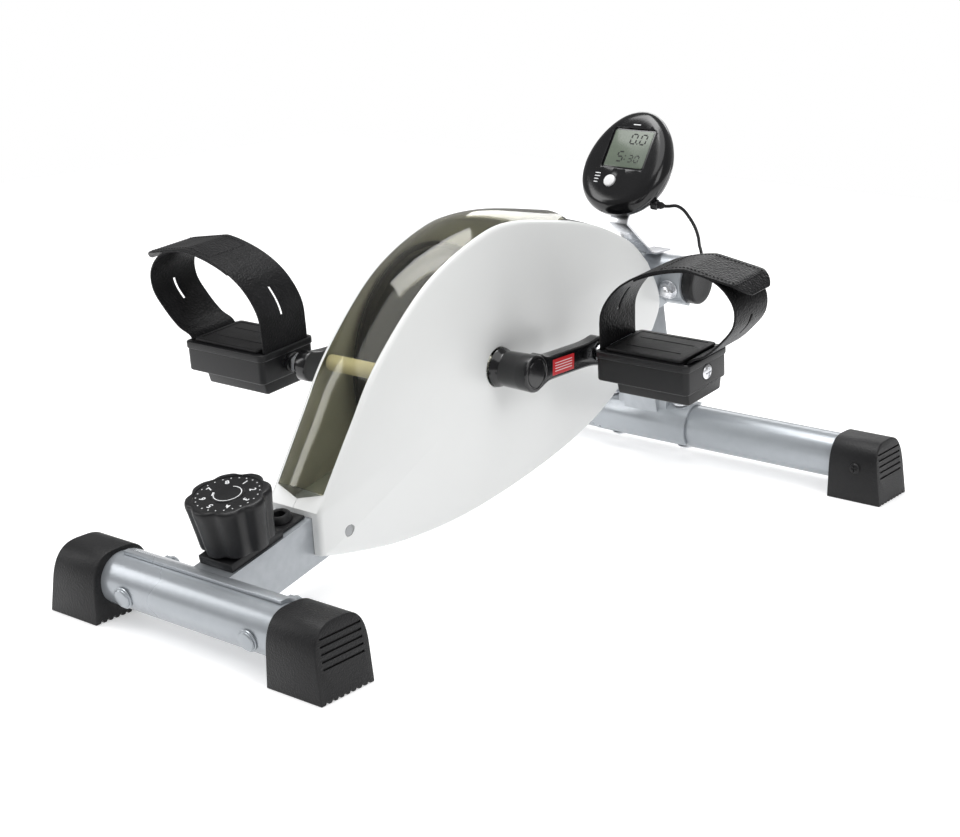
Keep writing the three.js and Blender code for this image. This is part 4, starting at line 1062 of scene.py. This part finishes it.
def pedal_body(side, sign, matrix):
    half_x, half_y = PEDAL_LENGTH / 2, PEDAL_WIDTH / 2
    bottom = PEDAL_TOP - PEDAL_HEIGHT
    lip = 5.5 * MM
    outline = rounded_rectangle(half_x, half_y, 5 * MM)
    body = slab(f"{side}_pedal_moulding", outline, PEDAL_TOP - lip, PEDAL_TOP)
    softened(body, 0.9 * MM, 3)
    lower = slab("lower", rounded_rectangle(half_x - 0.9 * MM, half_y - 0.9 * MM, 4.4 * MM),
                 bottom, PEDAL_TOP - 0.5 * lip)
    softened(lower, 1.4 * MM, 3)
    inset_in, inset_out = mm(17, 3) if sign > 0 else mm(3, 17)
    keel = prism("keel", [(-half_y + 4 * MM, bottom + 3 * MM), (-half_y + 7 * MM, bottom - 9.5 * MM),
                          (half_y - 7 * MM, bottom - 9.5 * MM), (half_y - 4 * MM, bottom + 3 * MM)],
                 -half_x + inset_in, half_x - inset_out)
    softened(keel, 1.6 * MM, 3)
    joined(body, lower, keel)
    cutters = []
    for x in (INNER_LEG, OUTER_LEG):
        half = STRAP_THICKNESS / 2 + 0.4 * MM
        reach = STRAP_WIDTH / 2 + 0.8 * MM
        low = (x - half, -reach, PEDAL_TOP - 6 * MM)
        cutters.append(block("slot", low, (x + half, reach, PEDAL_TOP + MM)))
    bore = disc_profile(5.4 * MM, -half_x - MM, half_x - 9 * MM, 0.1 * MM)
    seat = disc_profile(6.7 * MM, half_x - 1.2 * MM, half_x + 2 * MM, 0.1 * MM)
    cutters += [turned("bore", bore, along_x(), 40), turned("seat", seat, along_x(), 48)]
    carved(body, *cutters)
    placed(body, matrix)
    finished(body, f"{side}_pedal", "plastic_black", f"{side}_pedal_body", 40)


def pedal_pad(side, matrix):
    x0 = INNER_LEG + STRAP_THICKNESS / 2 + 2 * MM
    x1 = OUTER_LEG - STRAP_THICKNESS / 2 - MM
    half_y = PEDAL_WIDTH / 2 - 4 * MM
    middle, half_x = (x0 + x1) / 2, (x1 - x0) / 2
    outline = [(x + middle, y) for x, y in rounded_rectangle(half_x, half_y, 3 * MM)]
    pad = slab(f"{side}_tread_pad", outline, PEDAL_TOP + 0.1 * MM, PEDAL_TOP + 2.6 * MM)
    softened(pad, 0.8 * MM, 3)
    inner = [(x + middle, y) for x, y in rounded_rectangle(half_x - 4 * MM, half_y - 4 * MM, 2 * MM)]
    dish = slab("dish", inner, PEDAL_TOP + 2.3 * MM, PEDAL_TOP + 4 * MM)
    carved(pad, dish)
    placed(pad, matrix)
    finished(pad, f"{side}_pedal", "rubber_black", f"{side}_pedal_pad", 40)
    rows = [matrix @ Vector((middle, y * MM, PEDAL_TOP + 2.3 * MM)) for y in (-10, 10)]
    ribs = grown(f"{side}_tread_ribs", RIBS, rows, [],
                 {"Rib Size": (2 * half_x - 20 * MM, 1.4 * MM, 0.5 * MM), "Turn": tuple(matrix.to_euler())},
                 "rubber_black")
    softened(ribs, 0.25 * MM, 2)
    finished(ribs, f"{side}_pedal", "rubber_black")


def strap_centre(count):
    ends = [(INNER_LEG / MM, STRAP_END / MM), (INNER_LEG / MM, 24), *STRAP_LINE,
            (OUTER_LEG / MM + 4, PEDAL_TOP / MM + 2), (OUTER_LEG / MM, STRAP_END / MM)]
    return centripetal_path([Vector((x, 0, z)) * MM for x, z in ends], count)


def band(name, line, half_width, thickness, holes=(), taper=0):
    """A flat strip along a line in the x-z plane. Each hole is a slot (from, to) in shares of its length."""
    across = [-1, -0.96, -0.8, -0.6, -0.4, -0.2, -0.055, 0.055, 0.2, 0.4, 0.6, 0.8, 0.96, 1]
    count = len(line)
    points, faces = [], []
    for i, point in enumerate(line):
        end = max(0.0, 1 - (count - 1 - i) / 8) if taper else 0
        width = half_width * math.sqrt(1 - taper * end ** 2)
        points += [point + Vector((0, width * s, 0)) for s in across]
    for i in range(count - 1):
        share = (i + 0.5) / (count - 1)
        for j in range(len(across) - 1):
            middle = abs(across[j]) < 0.06 and abs(across[j + 1]) < 0.06
            if middle and any(low < share < high for low, high in holes):
                continue
            a = i * len(across) + j
            faces.append((a, a + 1, a + len(across) + 1, a + len(across)))
    made = new_object(name, points, faces)
    solid = made.modifiers.new("thickness", "SOLIDIFY")
    solid.thickness = thickness
    solid.offset = 0
    applied(made)
    cleaned(made, 1e-7)
    softened(made, 0.28 * thickness, 3, 50)
    return made


def offset_line(line, distance):
    """The line moved sideways in the x-z plane, outwards where distance is above 0."""
    moved = []
    for i, point in enumerate(line):
        along = (line[min(i + 1, len(line) - 1)] - line[max(i - 1, 0)]).normalized()
        moved.append(point + Vector((-along.z, 0, along.x)) * distance)
    return moved


def strap(side, matrix):
    """Two layers: the outer ends in a tab at the outer shoulder, the inner comes up from the outer leg."""
    centre = strap_centre(130)
    layer = STRAP_THICKNESS / 2
    tip = [Vector((x, 0, z)) * MM for x, z in ((75.4, 77.2), (80.5, 73.8), (85.9, 69.2))]
    outer_line = evenly_spaced(offset_line(centre[:66], layer / 2) + tip, 76)
    inner_line = offset_line(centre[40:], -layer / 2)
    outer = band(f"{side}_strap_band", outer_line, STRAP_WIDTH / 2, layer, ((0.17, 0.3),), 0.75)
    inner = band(f"{side}_strap_under", inner_line, STRAP_WIDTH / 2 - 0.6 * MM, layer, ((0.63, 0.74),))
    for made, node in ((outer, f"{side}_pedal_strap"), (inner, ())):
        placed(made, matrix)
        finished(made, f"{side}_pedal", "strap_black", node, 45)
    stitch_outline(side, outer_line[40:], matrix)
    clip_plate(side, matrix)


def stitch_outline(side, line, matrix):
    """One loop of stitches round the upper face of the strap's end."""
    inset, raise_by = STRAP_WIDTH / 2 - 4.4 * MM, 0.85 * MM
    row = []
    for i in range(3, len(line) - 5):
        along = (line[i + 1] - line[i - 1]).normalized()
        row.append(line[i] + Vector((-along.z, 0, along.x)) * raise_by)
    loop = [p + Vector((0, inset, 0)) for p in row]
    loop += [row[-1] + Vector((0, inset * (1 - k / 6), 0)) for k in range(1, 12)]
    loop += [p - Vector((0, inset, 0)) for p in reversed(row)]
    loop += [row[0] - Vector((0, inset * (1 - k / 6), 0)) for k in range(1, 12)]
    points = [matrix @ p for p in loop]
    edges = [(k, (k + 1) % len(points)) for k in range(len(points))]
    made = grown(f"{side}_strap_stitches", STITCHES, points, edges,
                 {"Pitch": 3.2 * MM, "Stitch Size": mm(0.9, 0.9, 2.4)}, "strap_black")
    finished(made, f"{side}_pedal", "strap_black")


def clip_plate(side, matrix):
    """The bright edge of the clip that holds the strap's inner end in the pedal."""
    x = INNER_LEG + STRAP_THICKNESS / 2 + 0.5 * MM
    low, high = (x, -15 * MM, PEDAL_TOP - 3 * MM), (x + 0.8 * MM, 15 * MM, PEDAL_TOP + 2 * MM)
    plate = block(f"{side}_strap_clip", low, high, matrix)
    softened(plate, 0.2 * MM, 2)
    finished(plate, f"{side}_pedal", "bright_steel")


def pedal(side, sign):
    matrix = pedal_matrix(sign)
    pedal_body(side, sign, matrix)
    pedal_pad(side, matrix)
    strap(side, matrix)
    face = PEDAL_LENGTH / 2 - 0.9 * MM
    screw_at = matrix @ along_x((face, 0, 0))
    cross_screw(f"{side}_end_screw", 5.9 * MM, 1.9 * MM, screw_at, f"{side}_pedal", "bright_steel",
                f"{side}_pedal_screw")


# ---- resistance knob ----------------------------------------------------------------------------
KNOB_MATRIX = Matrix.Translation(KNOB_AT) @ turn_about("X", SPINE_ANGLE)
KNOB_LOW, KNOB_RADIUS = 8.7 * MM, 30 * MM


def knob():
    """A body that widens upwards, with eight flutes over its edge and a shallow dished face."""
    # Each level is a share of the radius, a height in millimetres and a share of the flutes' depth.
    levels = [
        (0, 0, 0), (0.79, 0, 1), (0.845, 0.6, 1), (0.86, 1.8, 1), (0.895, 12, 1), (0.935, 22, 1),
        (0.97, 30, 1), (0.99, 33.4, 1), (0.985, 35.2, 1), (0.96, 36.4, 0.95), (0.92, 36.9, 0.8),
        (0.87, 37, 0.5), (0.81, 37, 0), (0.795, 36.2, 0), (0.4, 36.1, 0), (0.385, 36.7, 0), (0.2, 36.9, 0),
        (0, 36.9, 0)]
    count, rings = 192, []
    for share, height, flute in levels:
        ring = []
        for i in range(count):
            angle = 2 * math.pi * i / count
            wave = ((1 - math.cos(8 * angle)) / 2) ** 2.2
            radius = max(KNOB_RADIUS * share - 2.6 * MM * flute * wave, 1e-7)
            ring.append(Vector((radius * math.cos(angle), radius * math.sin(angle), KNOB_LOW + height * MM)))
        rings.append(ring)
    made = placed(ring_mesh("fluted_knob", rings, False), KNOB_MATRIX)
    finished(made, "knob", "plastic_black", "resistance_knob", 42)
    dial_marks()


def flat_ring_arc(name, radius, width, start, end, height, matrix, body, finish):
    """A thin printed arc."""
    steps = 40
    thick = 0.08 * MM
    rings = []
    for i in range(steps + 1):
        angle = math.radians(start + (end - start) * i / steps)
        out = Vector((math.cos(angle), math.sin(angle), 0))
        corners = ((-1, 0), (1, 0), (1, thick), (-1, thick))
        rings.append([out * (radius + way * width / 2) + Vector((0, 0, height + rise))
                      for way, rise in corners])
    made = placed(ring_mesh(name, rings, False), matrix)
    return finished(made, body, finish)


def printed_text(name, text, size, matrix, body, finish):
    """Raised print, made a mesh before it is put in place."""
    data = bpy.data.curves.new(name, "FONT")
    data.body = text
    data.size = size
    data.extrude = 0.04 * MM
    data.offset = 0.02 * size
    data.align_x, data.align_y = "CENTER", "CENTER"
    data.resolution_u = 3
    label = bpy.data.objects.new(name + "_text", data)
    put_in_scene(label)
    mesh = bpy.data.meshes.new_from_object(label.evaluated_get(bpy.context.evaluated_depsgraph_get()))
    bpy.data.objects.remove(label)
    made = bpy.data.objects.new(name, mesh)
    put_in_scene(made)
    placed(made, matrix)
    return finished(made, body, finish)


def dial_marks():
    face = KNOB_LOW + 36.2 * MM
    for k in range(8):
        angle = math.radians(90 - 45 * k)
        place = Matrix.Translation((16.9 * MM * math.cos(angle), 16.9 * MM * math.sin(angle), face))
        turn = turn_about("Z", angle - math.pi / 2)
        printed_text(
            f"dial_number_{k + 1}", str(k + 1), 6.4 * MM, KNOB_MATRIX @ place @ turn, "knob", "print_white")
    ticks = []
    for k in range(24):
        angle = math.radians(7.5 + 15 * k)
        ticks.append((21.9 * MM * math.cos(angle), 21.9 * MM * math.sin(angle), face + 0.05 * MM))
    points = [KNOB_MATRIX @ Vector(p) for p in ticks]
    made = grown("dial_ticks", STITCHES, *doubled(points, KNOB_AXIS), {
        "Pitch": 5 * MM, "Stitch Size": mm(1.1, 1.1, 0.12)}, "print_white")
    finished(made, "knob", "print_white")
    flat_ring_arc(
        "dial_arrow_arc", 9 * MM, 2 * MM, 200, 470, face + 0.5 * MM, KNOB_MATRIX, "knob", "print_white")
    tip = Vector((9 * MM * math.cos(math.radians(200)), 9 * MM * math.sin(math.radians(200)), 0))
    head = [(-2.4 * MM, 0), (2.4 * MM, 0), (0, -4.2 * MM)]
    made = slab("dial_arrow_head", head, face + 0.5 * MM, face + 0.58 * MM, Matrix.Translation(tip))
    placed(made, KNOB_MATRIX)
    finished(made, "knob", "print_white")


def doubled(points, direction):
    """Each point as a very short edge along a direction, for a tree that works on paths."""
    ends, edges = [], []
    for k, point in enumerate(points):
        ends += [point, point + direction * 0.05 * MM]
        edges.append((2 * k, 2 * k + 1))
    return ends, edges


def wire_grommet():
    node = "wire_grommet"
    low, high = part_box(node)
    middle = (low + high) / 2
    along = (middle.y - KNOB_AT.y) / math.cos(SPINE_ANGLE)
    matrix = KNOB_MATRIX @ Matrix.Translation((0, along, 2.7 * MM))
    profile = [(4.5 * MM, 0), (9 * MM, 0), mm(9, 1.2), mm(8.4, 3), mm(7.4, 4.6),
               mm(6.3, 5.2), mm(5.2, 5), mm(4.5, 4.2)]
    made = turned("grommet_ring", profile, matrix, 48, wrap=True)
    finished(made, BODY, "rubber_black", node)


# ---- display ------------------------------------------------------------------------------------
DISPLAY_MATRIX = Matrix.Translation(mm(-1.5, 225.4, 270.3)) @ turn_about("X", DISPLAY_ANGLE)
EGG_X, EGG_Z = 40.5 * MM, 48.3 * MM
FRONT_DEPTH, BACK_DEPTH = 13 * MM, 9 * MM
LENS_AT, LENS_HALF = Vector(mm(1.5, 8.7)), Vector(mm(19.1, 17.2))
BUTTON_AT = Vector(mm(-5.5, -22.3))


# Swaps Y and Z, to stand a flat outline up in the display's face.
UPRIGHT = Matrix(((1, 0, 0, 0), (0, 0, 1, 0), (0, 1, 0, 0), (0, 0, 0, 1)))


def egg_ring(scale, y, count=96):
    ring = []
    for i in range(count):
        angle = 2 * math.pi * i / count
        narrow = 1 - 0.12 * math.sin(angle)
        ring.append(Vector((EGG_X * math.cos(angle) * narrow * scale, y, EGG_Z * math.sin(angle) * scale)))
    return ring


def facing_front(x, z, y):
    """A place on the display's front whose local +Z looks out of the face."""
    return DISPLAY_MATRIX @ Matrix.Translation((x, y, z)) @ turn_about("X", math.pi / 2)


def lens_outline(margin, corner):
    outline = rounded_rectangle(LENS_HALF.x + margin, LENS_HALF.y + margin, corner)
    return [(x + LENS_AT.x, z + LENS_AT.y) for x, z in outline]


def display_case():
    rings = [egg_ring(scale, FRONT_DEPTH - rise * MM)
             for scale, rise in ((0.001, 0), (0.97, 0), (0.995, 0.4), (1.0, 1.4))]
    for step in range(1, 9):
        angle = math.radians(10.5 * step)
        rings.append(egg_ring(1 - 0.22 * (1 - math.cos(angle)), 10 * MM * (1 - math.sin(angle)) + 0.9 * MM))
    rings += [egg_ring(scale, y * MM)
              for scale, y in ((0.7, 0.62), (0.6, 0.42), (0.45, 0.22), (0.25, 0.06), (0.001, 0))]
    front = ring_mesh("display_front_shell", rings, False)
    recess = lens_outline(2 * MM, 3 * MM)
    cutter = cleaned(placed(slab("recess", recess, -MM, 2 * MM), UPRIGHT))
    hole = turned("button_hole", disc_profile(5.7 * MM, -9 * MM, 3 * MM, 0.1 * MM),
                  Matrix.Translation((BUTTON_AT.x, 0, BUTTON_AT.y)) @ turn_about("X", math.pi / 2), 48)
    carved(front, cutter, hole)
    softened(front, 0.35 * MM, 2, 40)
    placed(front, DISPLAY_MATRIX)
    finished(front, BODY, "gloss_black", "display_front", 40)
    deep = FRONT_DEPTH + BACK_DEPTH
    rings = [egg_ring(scale, FRONT_DEPTH + rise * MM)
             for scale, rise in ((0.001, 0.3), (0.965, 0.3), (0.985, 0.8), (0.98, 3), (0.95, 6))]
    rings += [egg_ring(0.88, deep - 0.9 * MM), egg_ring(0.83, deep), egg_ring(0.001, deep)]
    back = placed(ring_mesh("display_back_shell", rings, False), DISPLAY_MATRIX)
    finished(back, BODY, "gloss_black", "display_back", 40)


def display_screen():
    plate = lens_outline(1.7 * MM, 2.7 * MM)
    bezel = cleaned(placed(slab("display_bezel", plate, 1.3 * MM, 2.6 * MM), UPRIGHT))
    softened(bezel, 0.3 * MM, 2)
    placed(bezel, DISPLAY_MATRIX)
    finished(bezel, BODY, "gloss_black")
    panel = lens_outline(0, 1.4 * MM)
    screen = cleaned(placed(slab("display_screen", panel, 0.95 * MM, 1.5 * MM), UPRIGHT))
    softened(screen, 0.15 * MM, 2)
    placed(screen, DISPLAY_MATRIX)
    finished(screen, BODY, "lens_grey", "display_lens")


SEGMENTS = {"0": "abcdef", "3": "abgcd", "5": "afgcd"}
SEGMENT_SPOTS = {"a": (0.5, 1, 0), "b": (1, 0.75, 1), "c": (1, 0.25, 1), "d": (0.5, 0, 0),
                 "e": (0, 0.25, 1), "f": (0, 0.75, 1), "g": (0.5, 0.5, 0)}


def digit(name, figure, x, z, width, height):
    """One seven-segment figure on the screen."""
    stroke = 0.23 * width
    points, faces = [], []
    for letter in SEGMENTS[figure]:
        u, v, upright = SEGMENT_SPOTS[letter]
        long = (height / 2 if upright else width) - 1.3 * stroke
        centre = (x + u * width, z + v * height)
        half = (stroke / 2, long / 2) if upright else (long / 2, stroke / 2)
        slant = 0.09
        corners = [(-1, -1), (1, -1), (1, 1), (-1, 1)]
        base = len(points)
        for depth in mm(0.86, 0.93):
            for a, b in corners:
                dz = centre[1] + b * half[1]
                points.append(Vector((centre[0] + a * half[0] + slant * (dz - z), depth, dz)))
        faces += [(base, base + 1, base + 2, base + 3), (base + 7, base + 6, base + 5, base + 4)]
        faces += [(base + k, base + 4 + k, base + 4 + (k + 1) % 4, base + (k + 1) % 4) for k in range(4)]
    made = placed(cleaned(new_object(name, points, faces)), DISPLAY_MATRIX)
    return finished(made, BODY, "print_dark")


def display_figures():
    left = LENS_AT.x
    middle = LENS_AT.y
    large, small = mm(5.4, 9), mm(3.8, 6.2)
    digit("speed_digit_1", "0", left - 1.5 * MM, middle + 5 * MM, *large)
    digit("speed_digit_2", "0", left + 8 * MM, middle + 5 * MM, *large)
    digit("time_digit_1", "5", left - 9 * MM, middle - 12 * MM, *large)
    digit("time_digit_2", "3", left + 2.4 * MM, middle - 12 * MM, *small)
    digit("time_digit_3", "0", left + 8.6 * MM, middle - 12 * MM, *small)
    dots = [(left + 5.9 * MM, middle + 5.2 * MM), (left - 0.9 * MM, middle - 9.9 * MM),
            (left - 0.9 * MM, middle - 6.6 * MM)]
    for k, (x, z) in enumerate(dots):
        dot = block(f"screen_dot_{k + 1}", (x - 0.55 * MM, 0.86 * MM, z - 0.55 * MM),
                    (x + 0.55 * MM, 0.93 * MM, z + 0.55 * MM), DISPLAY_MATRIX)
        finished(dot, BODY, "print_dark")
    rows = [DISPLAY_MATRIX @ Vector(mm(-19.5 + 0.35 * k, 0.38 + 0.08 * k, -16.2 - 2.7 * k))
            for k in range(4)]
    marks = grown("function_marks", RIBS, rows, [], {
        "Rib Size": mm(5.2, 0.25, 0.8), "Turn": tuple(DISPLAY_MATRIX.to_euler())}, "print_white")
    finished(marks, BODY, "print_white")
    top_mark = DISPLAY_MATRIX @ Vector(mm(1.5, 0.46, 31.5))
    made = grown("top_mark", RIBS, [top_mark], [], {
        "Rib Size": mm(7, 0.25, 0.9), "Turn": tuple(DISPLAY_MATRIX.to_euler())}, "print_white")
    finished(made, BODY, "print_white")


def mode_button():
    profile = [(0, -7.6 * MM), mm(6.9, -7.6), mm(6.9, -6.4), mm(5.3, -6.4), mm(5.3, 0.4),
               mm(5.05, 0.95), mm(4.3, 1.3), mm(2.2, 1.42), (0, 1.45 * MM)]
    made = turned("round_button", profile, facing_front(BUTTON_AT.x, BUTTON_AT.y, 0), 56)
    finished(made, "button", "button_white", "mode_button")


# The lead's route in millimetres, from the plug to the carry handle.
PLUG_AT = Vector((33, 227.1, 233.1)) * MM
PLUG_DIRECTION = Vector((0.94, 0.3, -0.12)).normalized()
PLUG_LENGTH = 5.5 * MM
LEAD_POINTS = [
    (42, 230.2, 232.6), (47.5, 232.3, 233.2), (51.7, 236, 230.3), (54.6, 243, 222.3), (55.6, 250.5, 213.6),
    (54, 259.5, 203.5), (50.5, 268, 194.5), (47.5, 275.5, 189), (45.6, 280.3, 184.2), (44.8, 281.6, 179.6)]
LEAD_RADIUS = 1.4 * MM


def tube_along(name, line, radius, sides=14):
    rings = []
    side = Vector((0, 0, 1)).cross(line[1] - line[0]).normalized()
    for i, point in enumerate(line):
        along = (line[min(i + 1, len(line) - 1)] - line[max(i - 1, 0)]).normalized()
        side = (side - along * side.dot(along)).normalized()
        up = along.cross(side)
        ring = []
        for k in range(sides):
            angle = 2 * math.pi * k / sides
            ring.append(point + side * radius * math.cos(angle) + up * radius * math.sin(angle))
        rings.append(ring)
    return ring_mesh(name, rings, False)


def display_lead():
    start = PLUG_AT + PLUG_DIRECTION * (PLUG_LENGTH + 0.3 * MM)
    route = [start, *[Vector(p) * MM for p in LEAD_POINTS]]
    line = centripetal_path(route, 60)
    lead = tube_along("display_lead_wire", line, LEAD_RADIUS)
    finished(lead, BODY, "rubber_black", "display_lead", 60)
    facing = PLUG_DIRECTION.to_track_quat("Z", "Y").to_matrix().to_4x4()
    profile = [(0, 0), (3.1 * MM, 0), mm(3.1, 1.6), mm(2.8, 1.9), mm(3.1, 2.2),
               mm(3.1, 3), mm(2.4, 4.2), (1.9 * MM, PLUG_LENGTH), (0, PLUG_LENGTH)]
    plug = turned("lead_strain_relief", profile, Matrix.Translation(PLUG_AT) @ facing, 32)
    finished(plug, BODY, "rubber_black", "lead_plug")
    socket = turned("lead_socket", disc_profile(4.6 * MM, -6 * MM, 0.2 * MM, 1.2 * MM),
                    Matrix.Translation(PLUG_AT) @ facing, 40)
    finished(socket, BODY, "gloss_black")


# ---- assembly -----------------------------------------------------------------------------------
make_camera()
make_studio()
make_floor()
display_lead()
for bar in ("front_foot_bar", "rear_foot_bar", "carry_handle"):
    bar_tube(bar)
for end in ("front", "rear"):
    for side_name, _ in SIDES:
        foot_cap(f"{end}_{side_name}_foot_cap")
cap_screws()
for side_name, side_sign in SIDES:
    bar_bolt(f"front_{side_name}_bar_bolt", SPINE_ANGLE)
    bar_bolt(f"rear_{side_name}_bar_bolt", upright_turn())
    bar_bolt(f"handle_{side_name}_bolt", SPINE_ANGLE + math.pi)
    handle_cap(side_name, side_sign)
    crank(side_name, side_sign)
    spindle(side_name, side_sign)
    pedal(side_name, side_sign)
housing()
drive_wheels()
knob()
wire_grommet()
display_case()
display_screen()
display_figures()
mode_button()
for node_name in ("spine_frame", "rear_upright", "knob_base", "display_bracket"):
    refined(node_name)
for node_name, cad_node in frame["nodes"].items():
    if not cad_node.hide_render:
        cad_node.data.materials.clear()
        cad_node.data.materials.append(MATERIALS[FINISH[node_name]])
